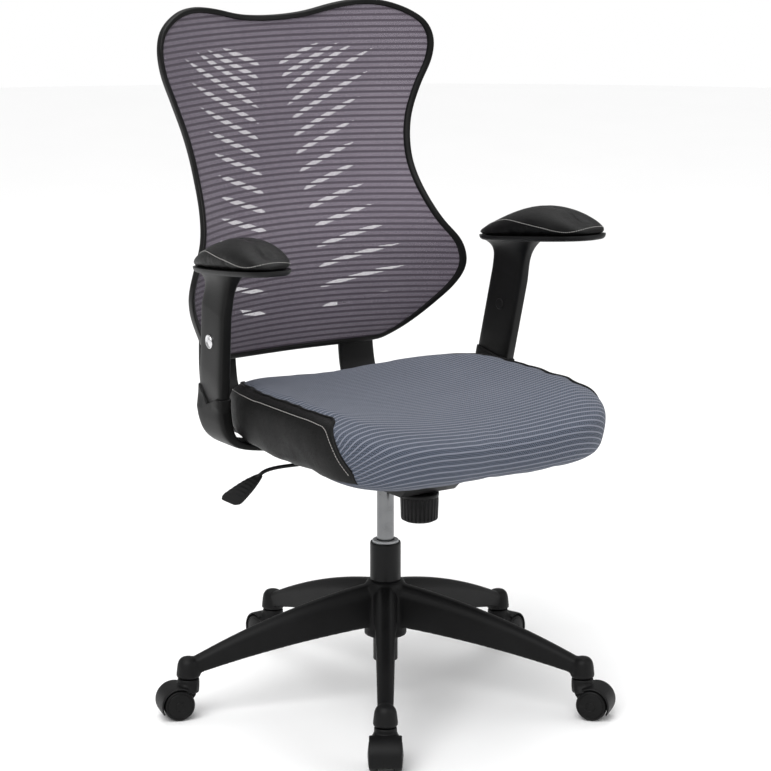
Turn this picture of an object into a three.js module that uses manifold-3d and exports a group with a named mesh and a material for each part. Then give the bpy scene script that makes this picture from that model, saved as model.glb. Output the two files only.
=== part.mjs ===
// Swivel task chair with a mesh back: five-leg caster base, gas lift, tilting seat,
// butterfly-shaped mesh back and height-adjustable T-arms.
// Millimetres. +Z is up, the sitter faces -Y, and the sitter's left is +X.
import * as THREE from 'three';
import { mergeVertices } from 'three/addons/utils/BufferGeometryUtils.js';
import Module from 'manifold-3d';

const wasm = await Module();
wasm.setup();

// ---------------------------------------------------------------- driving dimensions
// The column stands a little off the middle of the chair's footprint.
const COLUMN_SHIFT = new THREE.Vector3(4.5, -22.4, 0);
const GAP = 0.4; // clear space between pieces that touch

// base
const LEG_COUNT = 5;
const FIRST_LEG_DEG = -33.3; // turn of the first leg from straight ahead
const SOCKET_CIRCLE_R = 331;
const HUB = { r: 34.5, bottom: 105, top: 197 };
const SOCKET = { r: 19.5, bottom: 65, top: 99, bore: 5.9, boreTop: 91 };

// casters
const WHEEL = { r: 25, inner: 11.5, outer: 26.5, bore: 3.6 };
const AXLE_R = 3;
const STEM_R = 5.5;
const TRAIL = 20; // from the swivel axis out to the axle
const HOOD = { inner: 26.2, outer: 29.6, halfWidth: 25.5, web: 4 };

// gas lift
const OUTER_TUBE = { r: 25, bore: 22, bottom: 62, top: 261, footR: 19.9 };
const PRESSURE_TUBE = { r: 14, bore: 11, bottom: 155, top: 396 };
const PISTON_ROD = { r: 5, bottom: 66.5, top: 297, pistonR: 10.4 };
const PIN_R = 3.2;

// tilt mechanism
const HOUSING = { halfWidth: 52, front: -135, back: 45, bottom: 368, top: 405, earTop: 427 };
const PIVOT = { y: -60, z: 412, r: 5 };
const KNOB = { y: -98, r: 31.5, bottom: 319, top: 366, ribs: 20 };
const LEVER = { y: -30, z: 419, r: 3, pivotX: -49 };

// seat
const SEAT = { halfWidth: 263, middleY: -68, halfDepth: 271, middleZ: 485, topHeight: 31, bottomHeight: 39 };
const PAN = { halfWidth: 188, front: -215, back: 182, bottom: 440, thickness: 9.5 };
const PLATE = { halfWidth: 98, front: -118, back: 118, bottom: 435.5, thickness: 4 };

// back
const BACK_TOP_DIP = 1083;
const BACK_BOTTOM = 529;
const RIM_WIDTH = 9.5;
const SHELL_BEHIND = 19; // shell's front face behind the mesh at the centre line
const SLOT = { rows: 15, firstZ: 997, firstX: 15, halfWidth: 4.3, edgeDistance: 74, highest: 1033 };

// arms, measured on the sitter's left
const ARM_FOOT = new THREE.Vector3(270.5, 76, 527);
const ARM_TOP = new THREE.Vector3(282, 43, 700);
const ARM_TOE_OUT = THREE.MathUtils.degToRad(6);
const ARM_PAD_RISE = THREE.MathUtils.degToRad(6.9); // the pads climb towards the front
const SLEEVE = { halfDepth: 38, halfWidth: 10.5, bottom: -20, top: 186 };
const BLADE = { halfDepth: 29, halfWidth: 3, top: 168 };
const BUTTON = { r: 11.3, up: 88, inner: 6.4, outer: 13.2 };
const ARM_PAD = { x: 283, y: -30, z: 733.5, halfLength: 139, halfWidth: 47 };
const PAD_BASE_THICKNESS = 9;

// ---------------------------------------------------------------- materials
const finish = (color, roughness, metalness = 0) =>
  new THREE.MeshStandardMaterial({ color, roughness, metalness });

const blackNylon = finish(0x202022, 0.55);
const blackPlastic = finish(0x18181a, 0.45);
const blackSteel = finish(0x141416, 0.4, 0.5);
const chrome = finish(0xc8cacc, 0.2, 1);
const steel = finish(0x8c8e92, 0.35, 1);
const paleNylon = finish(0xb4b6b8, 0.5);
const blackVinyl = finish(0x1d1e1f, 0.5);
const seatFabric = finish(0x6a7488, 0.9);
const backMesh = finish(0x786e7c, 0.85);

// ---------------------------------------------------------------- solids
const { cos, sin, sqrt, abs, min, max, PI } = Math;
const lerp = THREE.MathUtils.lerp;
const vec = (x, y, z) => new THREE.Vector3(x, y, z);

function toSolid(geometry) {
  const bare = geometry.clone();
  bare.deleteAttribute('normal');
  bare.deleteAttribute('uv');
  const merged = mergeVertices(bare, 1e-3);
  return new wasm.Manifold(new wasm.Mesh({
    numProp: 3,
    vertProperties: new Float32Array(merged.attributes.position.array),
    triVerts: new Uint32Array(merged.index.array),
  }));
}

function toGeometry(solid) {
  const mesh = solid.getMesh();
  const geometry = new THREE.BufferGeometry();
  geometry.setAttribute('position', new THREE.BufferAttribute(mesh.vertProperties, 3));
  geometry.setIndex(new THREE.BufferAttribute(mesh.triVerts, 1));
  return geometry;
}

const join = (first, ...others) =>
  toGeometry(others.reduce((sum, part) => sum.add(toSolid(part)), toSolid(first)));
const cut = (first, ...others) =>
  toGeometry(others.reduce((rest, part) => rest.subtract(toSolid(part)), toSolid(first)));
const common = (first, second) => toGeometry(toSolid(first).intersect(toSolid(second)));

// Turns the faces round when they point inwards.
function facingOut(geometry) {
  const p = geometry.attributes.position;
  const index = geometry.index.array;
  const a = new THREE.Vector3();
  const b = new THREE.Vector3();
  const c = new THREE.Vector3();
  let volume = 0;
  for (let i = 0; i < index.length; i += 3) {
    a.fromBufferAttribute(p, index[i]);
    b.fromBufferAttribute(p, index[i + 1]);
    c.fromBufferAttribute(p, index[i + 2]);
    volume += a.dot(b.cross(c));
  }
  if (volume < 0) {
    for (let i = 0; i < index.length; i += 3) {
      [index[i + 1], index[i + 2]] = [index[i + 2], index[i + 1]];
    }
  }
  return geometry;
}

function fromTriangles(points, triangles) {
  const geometry = new THREE.BufferGeometry().setFromPoints(points);
  geometry.setIndex(triangles.flat());
  return facingOut(geometry);
}

// Skins rings of equal length; the two ends are closed unless the rings form a loop.
function loft(rings, loop = false) {
  const n = rings[0].length;
  const points = rings.flat();
  const triangles = [];
  const spans = loop ? rings.length : rings.length - 1;
  for (let r = 0; r < spans; r++) {
    const next = (r + 1) % rings.length;
    for (let i = 0; i < n; i++) {
      const j = (i + 1) % n;
      triangles.push([r * n + i, r * n + j, next * n + j]);
      triangles.push([r * n + i, next * n + j, next * n + i]);
    }
  }
  if (!loop) {
    const last = (rings.length - 1) * n;
    const first = points.push(middle(rings[0])) - 1;
    const end = points.push(middle(rings.at(-1))) - 1;
    for (let i = 0; i < n; i++) {
      const j = (i + 1) % n;
      triangles.push([first, j, i]);
      triangles.push([end, last + i, last + j]);
    }
  }
  return fromTriangles(points, triangles);
}

function middle(ring) {
  const sum = ring.reduce((total, p) => total.add(p), new THREE.Vector3());
  return sum.multiplyScalar(1 / ring.length);
}

// Turned solid about Z from [radius, height] pairs. It closes on itself, or on the axis.
function turned(profile, segments = 24) {
  const closed = profile.every(([r]) => r > 0) ? [...profile, profile[0]] : profile;
  const points = closed.map(([r, z]) => new THREE.Vector2(r, z));
  const geometry = mergedLathe(points, segments);
  geometry.rotateX(PI / 2);
  return facingOut(geometry);
}

function mergedLathe(points, segments) {
  const geometry = new THREE.LatheGeometry(points, segments);
  geometry.deleteAttribute('normal');
  geometry.deleteAttribute('uv');
  return mergeVertices(geometry, 1e-3);
}

const cylinder = (r, low, high, segments = 24) =>
  turned([[0, low], [r, low], [r, high], [0, high]], segments);

function box(x0, x1, y0, y1, z0, z1) {
  const geometry = new THREE.BoxGeometry(x1 - x0, y1 - y0, z1 - z0);
  geometry.translate((x0 + x1) / 2, (y0 + y1) / 2, (z0 + z1) / 2);
  return geometry;
}

// Cylinder along X.
function crossCylinder(r, x0, x1, y, z, segments = 16) {
  const geometry = cylinder(r, x0, x1, segments);
  geometry.rotateY(PI / 2);
  geometry.translate(0, y, z);
  return geometry;
}

// Outline in the YZ plane, extruded along X from x0 to x1.
function slab(outline, x0, x1) {
  const shape = new THREE.Shape(outline.map(([y, z]) => new THREE.Vector2(y, z)));
  const geometry = new THREE.ExtrudeGeometry(shape, { depth: x1 - x0, bevelEnabled: false });
  geometry.applyMatrix4(new THREE.Matrix4().makeBasis(vec(0, 1, 0), vec(0, 0, 1), vec(1, 0, 0)));
  geometry.translate(x0, 0, 0);
  return geometry;
}

// Round bar along a path.
function bar(path, r, steps, sides = 8) {
  const circle = new THREE.Shape();
  for (let i = 0; i < sides; i++) {
    const a = (2 * PI * i) / sides;
    if (i === 0) circle.moveTo(r, 0);
    else circle.lineTo(r * cos(a), r * sin(a));
  }
  return new THREE.ExtrudeGeometry(circle, { steps, extrudePath: path, bevelEnabled: false });
}

// A rounded-rectangle-like ring: exponent 2 is an ellipse, larger is squarer.
function superRing(count, power, place) {
  const ring = [];
  for (let i = 0; i < count; i++) {
    const a = (2 * PI * (i + 0.5)) / count;
    ring.push(place(signedPower(cos(a), 2 / power), signedPower(sin(a), 2 / power)));
  }
  return ring;
}

const signedPower = (value, power) => Math.sign(value) * abs(value) ** power;

function mirrored(geometry) {
  const copy = mergeVertices(toGeometry(toSolid(geometry)));
  copy.scale(-1, 1, 1);
  return facingOut(copy);
}

// Value of a smooth curve through [position, value] pairs in rising position.
function smooth(pairs, at) {
  if (at <= pairs[0][0]) return pairs[0][1];
  if (at >= pairs.at(-1)[0]) return pairs.at(-1)[1];
  const i = pairs.findIndex(([position]) => position > at);
  const [p0, p1] = [pairs[i - 1], pairs[i]];
  const before = pairs[max(i - 2, 0)];
  const after = pairs[min(i + 1, pairs.length - 1)];
  const span = p1[0] - p0[0];
  const m0 = ((p1[1] - before[1]) / (p1[0] - before[0])) * span;
  const m1 = ((after[1] - p0[1]) / (after[0] - p0[0])) * span;
  const t = (at - p0[0]) / span;
  const t2 = t * t;
  const t3 = t2 * t;
  return (2 * t3 - 3 * t2 + 1) * p0[1] + (t3 - 2 * t2 + t) * m0
    + (3 * t2 - 2 * t3) * p1[1] + (t3 - t2) * m1;
}

const chair = new THREE.Group();
const column = new THREE.Group();
column.position.copy(COLUMN_SHIFT);
chair.add(column);

function place(name, geometry, material, parent = column) {
  const mesh = new THREE.Mesh(geometry, material);
  mesh.name = name;
  parent.add(mesh);
}

// ---------------------------------------------------------------- base
const legAngle = (leg) => THREE.MathUtils.degToRad(FIRST_LEG_DEG - 90 + (360 / LEG_COUNT) * leg);

function legBeam(angle) {
  const stations = [8, 60, 110, 165, 220, 275, 322];
  const rings = stations.map((x) => {
    const t = max(0, (x - 30) / (SOCKET_CIRCLE_R - 30));
    const bow = 4 * t * (1 - t);
    const top = lerp(191, 92, t) + 11 * bow;
    const low = lerp(121, 67.5, t) + 6 * bow;
    const half = lerp(18.5, 12.5, t);
    const shoulder = top - 0.25 * (top - low);
    const section = [[0.45, top], [0.8, lerp(top, shoulder, 0.45)], [1, shoulder], [0.86, low + 3], [0.7, low]];
    const right = section.map(([side, z]) => vec(x, half * side, z));
    const left = section.map(([side, z]) => vec(x, -half * side, z)).reverse();
    return [...right, ...left];
  });
  return loft(rings).rotateZ(angle);
}

function socketAt(angle) {
  const { r, bottom, top } = SOCKET;
  const dome = [[0, top], [7, top - 0.6], [12.5, top - 3], [16, top - 8], [17.5, top - 14]];
  const post = turned([...dome, [r, bottom + 2], [r - 1, bottom], [0, bottom]], 16);
  return post.translate(SOCKET_CIRCLE_R * cos(angle), SOCKET_CIRCLE_R * sin(angle), 0);
}

function makeBase() {
  const { r, bottom, top } = HUB;
  const hub = turned([[0, bottom], [r, bottom], [r, bottom + 8], [r - 1.5, bottom + 11],
    [r - 1.5, top - 8], [r - 5, top - 1], [r - 8, top], [0, top]], 26);
  const angles = [...Array(LEG_COUNT).keys()].map(legAngle);
  const body = join(hub, ...angles.map(legBeam), ...angles.map(socketAt));
  const taper = turned([[0, bottom - 1], [20.6, bottom - 1], [24.7, top + 1], [0, top + 1]], 26);
  const bores = angles.map((angle) => cylinder(SOCKET.bore, SOCKET.bottom - 1, SOCKET.boreTop, 10)
    .translate(SOCKET_CIRCLE_R * cos(angle), SOCKET_CIRCLE_R * sin(angle), 0));
  place('base_star', cut(body, taper, ...bores), blackNylon);
}

// ---------------------------------------------------------------- casters
// Built about the swivel axis with the wheels trailing towards +X.
function casterHood() {
  const { inner, outer, halfWidth, web } = HOOD;
  const neckTop = SOCKET.bottom - 1.5;
  const profile = new THREE.Shape();
  profile.absarc(TRAIL, WHEEL.r, outer, -0.48, PI * 0.66, false);
  profile.lineTo(-14, 44);
  profile.lineTo(-9, 34);
  profile.lineTo(TRAIL - 9, WHEEL.r - 8);
  profile.lineTo(TRAIL + 9, WHEEL.r - 8);
  const body = new THREE.ExtrudeGeometry(profile, {
    depth: 2 * halfWidth - 4, bevelEnabled: true, bevelSize: 1.6, bevelThickness: 2,
    bevelSegments: 1, curveSegments: 9,
  });
  body.translate(0, 0, 2 - halfWidth);
  body.rotateX(PI / 2);
  const neck = turned([[0, 40], [16.5, 40], [17.5, 50], [17.5, neckTop - 1], [16.5, neckTop], [0, neckTop]], 16);
  const wheelSpace = (side) => {
    const space = cylinder(inner, WHEEL.inner - 1, halfWidth + 4, 24);
    space.rotateX(-PI / 2 * side);
    return space.translate(TRAIL, 0, WHEEL.r);
  };
  const webEdge = (side) => box(-20, TRAIL + 20, side > 0 ? web : -WHEEL.inner, side > 0 ? WHEEL.inner : -web, -5, 12);
  const axleHole = cylinder(AXLE_R + 0.4, -15, 15, 10).rotateX(PI / 2).translate(TRAIL, 0, WHEEL.r);
  const stemHole = cylinder(STEM_R + 0.4, 46, 70, 10);
  return cut(join(body, neck), wheelSpace(1), wheelSpace(-1), webEdge(1), webEdge(-1), axleHole, stemHole);
}

function casterWheel(side) {
  const { r, inner, outer, bore } = WHEEL;
  const profile = [[0, outer - 2], [bore, outer - 2], [bore, inner], [r - 2, inner], [r, inner + 2.5],
    [r, outer - 5], [r - 3, outer - 1.6], [r - 7, outer - 0.4], [0, outer + 0.9]];
  const wheel = turned(profile, 20);
  wheel.rotateX((-PI / 2) * side);
  return wheel.translate(TRAIL, 0, r);
}

function makeCaster(leg) {
  const number = leg + 1;
  const angle = legAngle(leg);
  const group = new THREE.Group();
  group.position.set(SOCKET_CIRCLE_R * cos(angle), SOCKET_CIRCLE_R * sin(angle), 0);
  group.rotation.z = angle;
  column.add(group);
  const stem = turned([[0, 46.5], [STEM_R, 46.5], [STEM_R, 88], [STEM_R - 1.5, 90], [0, 90]], 10);
  const axle = cylinder(AXLE_R, -23.5, 23.5, 10).rotateX(PI / 2).translate(TRAIL, 0, WHEEL.r);
  place(`caster_stem_${number}`, stem, steel, group);
  place(`caster_hood_${number}`, casterHood(), blackNylon, group);
  place(`caster_axle_${number}`, axle, steel, group);
  place(`caster_wheel_${number}a`, casterWheel(1), blackPlastic, group);
  place(`caster_wheel_${number}b`, casterWheel(-1), blackPlastic, group);
}

// ---------------------------------------------------------------- gas lift
function makeGasLift() {
  const { r, bore, bottom, top, footR } = OUTER_TUBE;
  const outer = turned([[footR, bottom], [footR + 0.2, HUB.bottom], [24.2, HUB.top], [r, HUB.top + 2],
    [r, top - 1], [r - 1, top], [bore, top], [bore, 205], [17, 120], [17, bottom + 4], [5.8, bottom + 4],
    [5.8, bottom]], 28);
  place('gas_outer_tube', outer, blackSteel);
  const bush = turned([[14.5, 224], [bore - GAP, 224], [bore - GAP, top - 0.5], [20, top + 1.2], [14.5, top + 1.2]], 28);
  place('guide_bush', bush, paleNylon);
  const bearing = turned([[7, 66.8], [12, 66.8], [12, 72], [7, 72]], 20);
  place('thrust_bearing', bearing, steel);
  const rod = PISTON_ROD;
  const collar = [[rod.r, 73], [10, 73], [10, 77], [rod.r, 77]];
  const piston = [[rod.r, rod.top - 12], [rod.pistonR, rod.top - 12], [rod.pistonR, rod.top], [0, rod.top]];
  place('piston_rod', turned([[0, rod.bottom], [rod.r, rod.bottom], ...collar, ...piston], 20), steel);
  const tube = PRESSURE_TUBE;
  const pressure = turned([[tube.bore, tube.bottom], [tube.r, tube.bottom], [tube.r, tube.top - 30],
    [tube.r - 1, tube.top], [PIN_R + 0.4, tube.top], [PIN_R + 0.4, 374], [tube.bore, 370]], 28);
  place('pressure_tube', pressure, chrome);
  place('release_pin', cylinder(PIN_R, 386, 416.9, 12), steel);
}

// ---------------------------------------------------------------- tilt mechanism
function makeMechanism() {
  const { halfWidth, front, back, bottom, top, earTop } = HOUSING;
  const side = [[front + 14, bottom], [back - 18, bottom], [back, bottom + 14], [back, top],
    [front, top], [front, bottom + 12]];
  const block = slab(side, -halfWidth, halfWidth);
  const earOutline = [[-82, top - 2], [-14, top - 2], [-20, earTop], [-72, earTop]];
  const ear = (x) => slab(earOutline, x, x + 8);
  const gasHole = turned([[0, bottom - 1], [PRESSURE_TUBE.r + 0.6, bottom - 1],
    [PRESSURE_TUBE.r + 0.6, 397], [PIN_R + 1, 397], [PIN_R + 1, top + 1], [0, top + 1]], 20);
  const springHole = cylinder(15, bottom + 4, top + 1, 20).translate(0, KNOB.y, 0);
  const boltHole = cylinder(5.8, bottom - 1, bottom + 5, 14).translate(0, KNOB.y, 0);
  const pivotHole = crossCylinder(PIVOT.r + 0.6, -60, 60, PIVOT.y, PIVOT.z);
  const leverHole = crossCylinder(6.2, -60, -40, LEVER.y, LEVER.z, 14);
  const housing = cut(join(block, ear(-halfWidth), ear(halfWidth - 8)),
    gasHole, springHole, boltHole, pivotHole, leverHole);
  place('mechanism_housing', housing, blackSteel);

  const plate = PLATE;
  const sheet = box(-plate.halfWidth, plate.halfWidth, plate.front, plate.back,
    plate.bottom, plate.bottom + plate.thickness);
  const flangeOutline = [[-82, plate.bottom + 1], [-47, plate.bottom + 1], [-50, 402], [-72, 402]];
  const flange = (x) => slab(flangeOutline, x, x + 4);
  const seatPlate = cut(join(sheet, flange(53.5), flange(-57.5)),
    crossCylinder(PIVOT.r + 0.3, -60, 60, PIVOT.y, PIVOT.z));
  place('seat_plate', seatPlate, blackSteel);
  place('tilt_shaft', crossCylinder(PIVOT.r, -60, 60, PIVOT.y, PIVOT.z, 14), steel);
}

function makeTension() {
  const { y, r, bottom, top, ribs } = KNOB;
  const ring = (radius, z) => {
    const points = [];
    for (let i = 0; i < ribs * 3; i++) {
      const a = (2 * PI * i) / (ribs * 3);
      const reach = i % 3 === 0 ? radius - 1.6 : radius;
      points.push(vec(reach * cos(a), reach * sin(a), z));
    }
    return points;
  };
  const grip = loft([ring(r - 4.5, bottom), ring(r - 2, bottom + 3), ring(r, top - 3), ring(r - 2, top)]);
  const knob = cut(grip, cylinder(5.5, bottom + 10, top + 1, 14));
  place('tension_knob', knob.translate(0, y, 0), blackPlastic);
  const bolt = turned([[0, bottom + 12], [5, bottom + 12], [5, 399.4], [13, 399.4], [13, 404], [0, 404]], 16);
  place('tension_bolt', bolt.translate(0, y, 0), steel);
  const coil = new THREE.Curve();
  const turns = 3.5;
  coil.getPoint = (t) => vec(10 * cos(2 * PI * turns * t), y + 10 * sin(2 * PI * turns * t), lerp(374.6, 396.8, t));
  place('tension_spring', bar(coil, 1.9, 40, 6), steel);
}

function makeLever() {
  const { y, z, r } = LEVER;
  const path = new THREE.CatmullRomCurve3([vec(8, y, z), vec(-80, y, z), vec(-160, y, z + 1),
    vec(-232, y, z + 1.5), vec(-249, y, z - 3), vec(-262, y, z - 14)]);
  const rod = bar(path, r, 14);
  const tab = box(-6, 16, y - 2, 5, z - 1.6, z + 1.6);
  place('lever_rod', join(rod, tab), blackSteel);
  const bush = crossCylinder(5.6, -58, -40, y, z, 14);
  place('lever_bush', cut(bush, crossCylinder(r + 0.9, -59, -39, y, z, 12)), paleNylon);
  // [distance out, half-width, thickness, drop below the rod] along the grip
  const spread = [[254, 11, 8, -8], [262, 14, 13, -13], [276, 21, 14, -21], [293, 27.5, 11, -31],
    [305, 28.5, 6, -38], [308, 24, 2.5, -40]];
  const rings = spread.map(([x, halfWidth, thickness, drop]) =>
    superRing(12, 3.2, (u, v) => vec(-x + 0.35 * v * thickness, y + u * halfWidth, z + drop + 0.5 * v * thickness)));
  const grip = cut(loft(rings), bar(path, r + GAP, 14));
  place('lever_paddle', grip, blackPlastic);
}

// ---------------------------------------------------------------- seat
function seatPoint(around, up) {
  const { halfWidth, middleY, halfDepth, middleZ, topHeight, bottomHeight } = SEAT;
  const plan = sin(around) < 0 ? 2 / 4.2 : 2 / 3.4;
  const rounding = abs(cos(up)) ** lerp(0.42, 0.22, cos(around) ** 2); // squarer at the sides
  const across = signedPower(cos(around), plan) * rounding;
  const along = signedPower(sin(around), plan) * rounding;
  const rise = signedPower(sin(up), up < 0 ? 0.45 : 0.55);
  const lip = max(0, -along - 0.35) / 0.65; // 0 on the flat of the seat, 1 at the front lip
  const rear = max(0, along);
  const width = halfWidth * (1 - 0.1 * rear * rear) - max(0, -rise) * 9;
  const y = middleY + halfDepth * along - 4 * max(0, rise) * lip + 14 * max(0, -rise) * lip;
  if (rise > 0) return vec(width * across, y, middleZ + rise * (topHeight + 24 * across ** 2 - 15 * lip ** 2));
  return vec(width * across, y, middleZ + rise * (bottomHeight - 6 * rear + 7 * lip));
}

function seatBody() {
  const around = 40;
  const levels = [-1.571, -1.25, -0.9, -0.5, -0.15, 0.2, 0.55, 0.9, 1.15, 1.36, 1.571];
  const rings = levels.slice(1, -1).map((up) => {
    const ring = [];
    for (let i = 0; i < around; i++) ring.push(seatPoint((2 * PI * i) / around, up));
    return ring;
  });
  return loft(rings);
}

// The vinyl panel on each side of the seat, as an outline in the YZ plane.
function sidePanelOutline(grow) {
  const points = [[206, 440], [206, 526], [32, 533], [-54, 537], [-115, 543], [-158, 546], [-185, 542],
    [-208, 532], [-226, 518], [-238, 502], [-246, 486], [-256, 467], [-268, 440]];
  return points.map(([y, z], i) => (i === 0 || i === points.length - 1 ? [y, z] : [y - 0.5 * grow, z + grow]));
}

function makeSeat() {
  const full = seatBody();
  const reach = SEAT.halfWidth + 20;
  const skin = 218; // the panels are the shell outside this half-width
  const hollow = (side, inner, grow) => slab(sidePanelOutline(grow),
    side > 0 ? inner : -reach, side > 0 ? reach : -inner);
  const panCut = box(-PAN.halfWidth - 2, PAN.halfWidth + 2, PAN.front - 2, 240, 400, PAN.bottom + PAN.thickness + GAP);
  const body = cut(full, hollow(1, skin, GAP), hollow(-1, skin, GAP), panCut);
  place('seat_cushion', body, seatFabric);
  place('seat_side_left', common(full, hollow(1, skin + GAP, 0)), blackVinyl);
  place('seat_side_right', common(full, hollow(-1, skin + GAP, 0)), blackVinyl);
}

function makePan() {
  const { halfWidth, front, back, bottom, thickness } = PAN;
  const middleY = (front + back) / 2;
  const halfDepth = (back - front) / 2;
  const ring = (shrink, z) => superRing(32, 7, (u, v) => vec((halfWidth - shrink) * u, middleY + (halfDepth - shrink) * v, z));
  const pan = loft([ring(3, bottom), ring(0, bottom + 3), ring(0, bottom + thickness)]);
  place('seat_pan', pan, blackPlastic);
}

// ---------------------------------------------------------------- back
// Depth of the back's surface along the centre line, and its bend across, by height.
const CENTRE_DEPTH = [[529, 274], [560, 268], [600, 264], [660, 262], [720, 268], [780, 287], [840, 304],
  [900, 317], [960, 327], [1020, 335], [1083, 341], [1106, 343]];
const BEND = [[529, 0.35], [560, 0.92], [600, 1.27], [660, 1.52], [760, 1.9], [850, 1.58], [940, 1.33],
  [1040, 1.27], [1106, 1.2]]; // per metre
const backDepth = (x, z) => smooth(CENTRE_DEPTH, z) - smooth(BEND, z) * x * x * 1e-3;

// Right-hand half of the outline seen from the front, as [x, z], from the bottom corner
// up the side to the top corner.
const SIDE_EDGE = [[163, 531], [181, 543], [205, 567], [232, 600], [254, 632], [265, 666], [255, 708], [231, 745],
  [214, 795], [209, 848], [217, 905], [238, 962], [257, 1005], [262, 1042], [252, 1070], [228, 1089]];
const TOP_EDGE = [[228, 1089], [197, 1101], [160, 1105], [118, 1100], [60, 1087], [0, BACK_TOP_DIP]];

const ROWS = 20; // steps up each side of the back
const COLUMNS = 12; // steps across its top and bottom

const throughXZ = (points) =>
  new THREE.CatmullRomCurve3(points.map(([x, z]) => vec(x, 0, z)), false, 'centripetal');
const flipped = (points) => points.map(([x, z]) => [-x, z]).reverse();

// The outline as one closed list of points in the XZ plane, anticlockwise from the left
// bottom corner: bottom, right side, top, left side.
function makeOutline() {
  const bottomHalf = [[0, BACK_BOTTOM], [130, BACK_BOTTOM], SIDE_EDGE[0]];
  const sides = [
    [[...flipped(bottomHalf).slice(0, -1), ...bottomHalf], COLUMNS],
    [SIDE_EDGE, ROWS],
    [[...TOP_EDGE, ...flipped(TOP_EDGE).slice(1)], COLUMNS],
    [flipped(SIDE_EDGE), ROWS],
  ];
  return sides.flatMap(([points, count]) => throughXZ(points).getSpacedPoints(count).slice(0, -1));
}

const OUTLINE = makeOutline();

// Unit vector pointing inwards at each point of the outline.
const INWARD = OUTLINE.map((_, i) => {
  const before = OUTLINE[(i + OUTLINE.length - 1) % OUTLINE.length];
  const after = OUTLINE[(i + 1) % OUTLINE.length];
  const along = after.clone().sub(before).normalize();
  return vec(-along.z, 0, along.x);
});

const insetPoint = (i, inset) => OUTLINE[i].clone().addScaledVector(INWARD[i], inset);

function makeRim() {
  const section = [[0, 2], [1.5, -1.5], [RIM_WIDTH / 2, -3], [RIM_WIDTH - 1.5, -1.5], [RIM_WIDTH, 1],
    [RIM_WIDTH, 10], [RIM_WIDTH - 2, 13], [2, 13]];
  const rings = OUTLINE.map((_, i) => section.map(([across, behind]) => {
    const p = insetPoint(i, across);
    return vec(p.x, backDepth(p.x, p.z) + behind, p.z);
  }));
  place('back_rim', loft(rings, true), blackPlastic);
}

// Grid of points spanning the inset outline, rows from the bottom to the top.
function patchGrid(inset) {
  const ring = OUTLINE.map((_, i) => insetPoint(i, inset));
  const right = COLUMNS;
  const top = right + ROWS;
  const left = top + COLUMNS;
  const bottomAt = (i) => ring[i];
  const rightAt = (j) => ring[right + j];
  const topAt = (i) => ring[left - i];
  const leftAt = (j) => ring[(left + ROWS - j) % ring.length];
  const grid = [];
  for (let j = 0; j <= ROWS; j++) {
    const v = j / ROWS;
    const row = [];
    for (let i = 0; i <= COLUMNS; i++) {
      const u = i / COLUMNS;
      const p = new THREE.Vector3();
      p.addScaledVector(bottomAt(i), 1 - v).addScaledVector(topAt(i), v);
      p.addScaledVector(leftAt(j), 1 - u).addScaledVector(rightAt(j), u);
      p.addScaledVector(bottomAt(0), -(1 - u) * (1 - v)).addScaledVector(bottomAt(COLUMNS), -u * (1 - v));
      p.addScaledVector(topAt(0), -(1 - u) * v).addScaledVector(topAt(COLUMNS), -u * v);
      row.push({ x: p.x, z: p.z, inside: min(1, 5 * min(u, 1 - u), 6 * min(v, 1 - v)) });
    }
    grid.push(row);
  }
  return grid;
}

// A sheet inside the rim. front and rear give its faces' depth behind the back's surface
// from how far inside the edge a point is, 0 to 1.
function backSheet(inset, front, rear) {
  const grid = patchGrid(inset);
  const points = [front, rear].flatMap((depth) => grid.flatMap((row) => row.map(({ x, z, inside }) =>
    vec(x, backDepth(x, z) + depth(inside), z))));
  const at = (face, i, j) => (face * (ROWS + 1) + j) * (COLUMNS + 1) + i;
  const triangles = [];
  const quad = (a, b, c, d) => triangles.push([a, b, c], [a, c, d]);
  for (let j = 0; j < ROWS; j++) {
    for (let i = 0; i < COLUMNS; i++) {
      quad(at(0, i, j), at(0, i + 1, j), at(0, i + 1, j + 1), at(0, i, j + 1));
      quad(at(1, i, j), at(1, i, j + 1), at(1, i + 1, j + 1), at(1, i + 1, j));
    }
    quad(at(0, 0, j), at(0, 0, j + 1), at(1, 0, j + 1), at(1, 0, j));
    quad(at(0, COLUMNS, j + 1), at(0, COLUMNS, j), at(1, COLUMNS, j), at(1, COLUMNS, j + 1));
  }
  for (let i = 0; i < COLUMNS; i++) {
    quad(at(0, i + 1, 0), at(0, i, 0), at(1, i, 0), at(1, i + 1, 0));
    quad(at(0, i, ROWS), at(0, i + 1, ROWS), at(1, i + 1, ROWS), at(1, i, ROWS));
  }
  return fromTriangles(points, triangles);
}

// Half-width of the outline at a height.
function halfWidthAt(z) {
  const i = SIDE_EDGE.findIndex(([, height]) => height > z);
  const [x0, z0] = SIDE_EDGE[i - 1];
  const [x1, z1] = SIDE_EDGE[i];
  return lerp(x0, x1, (z - z0) / (z1 - z0));
}

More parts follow.
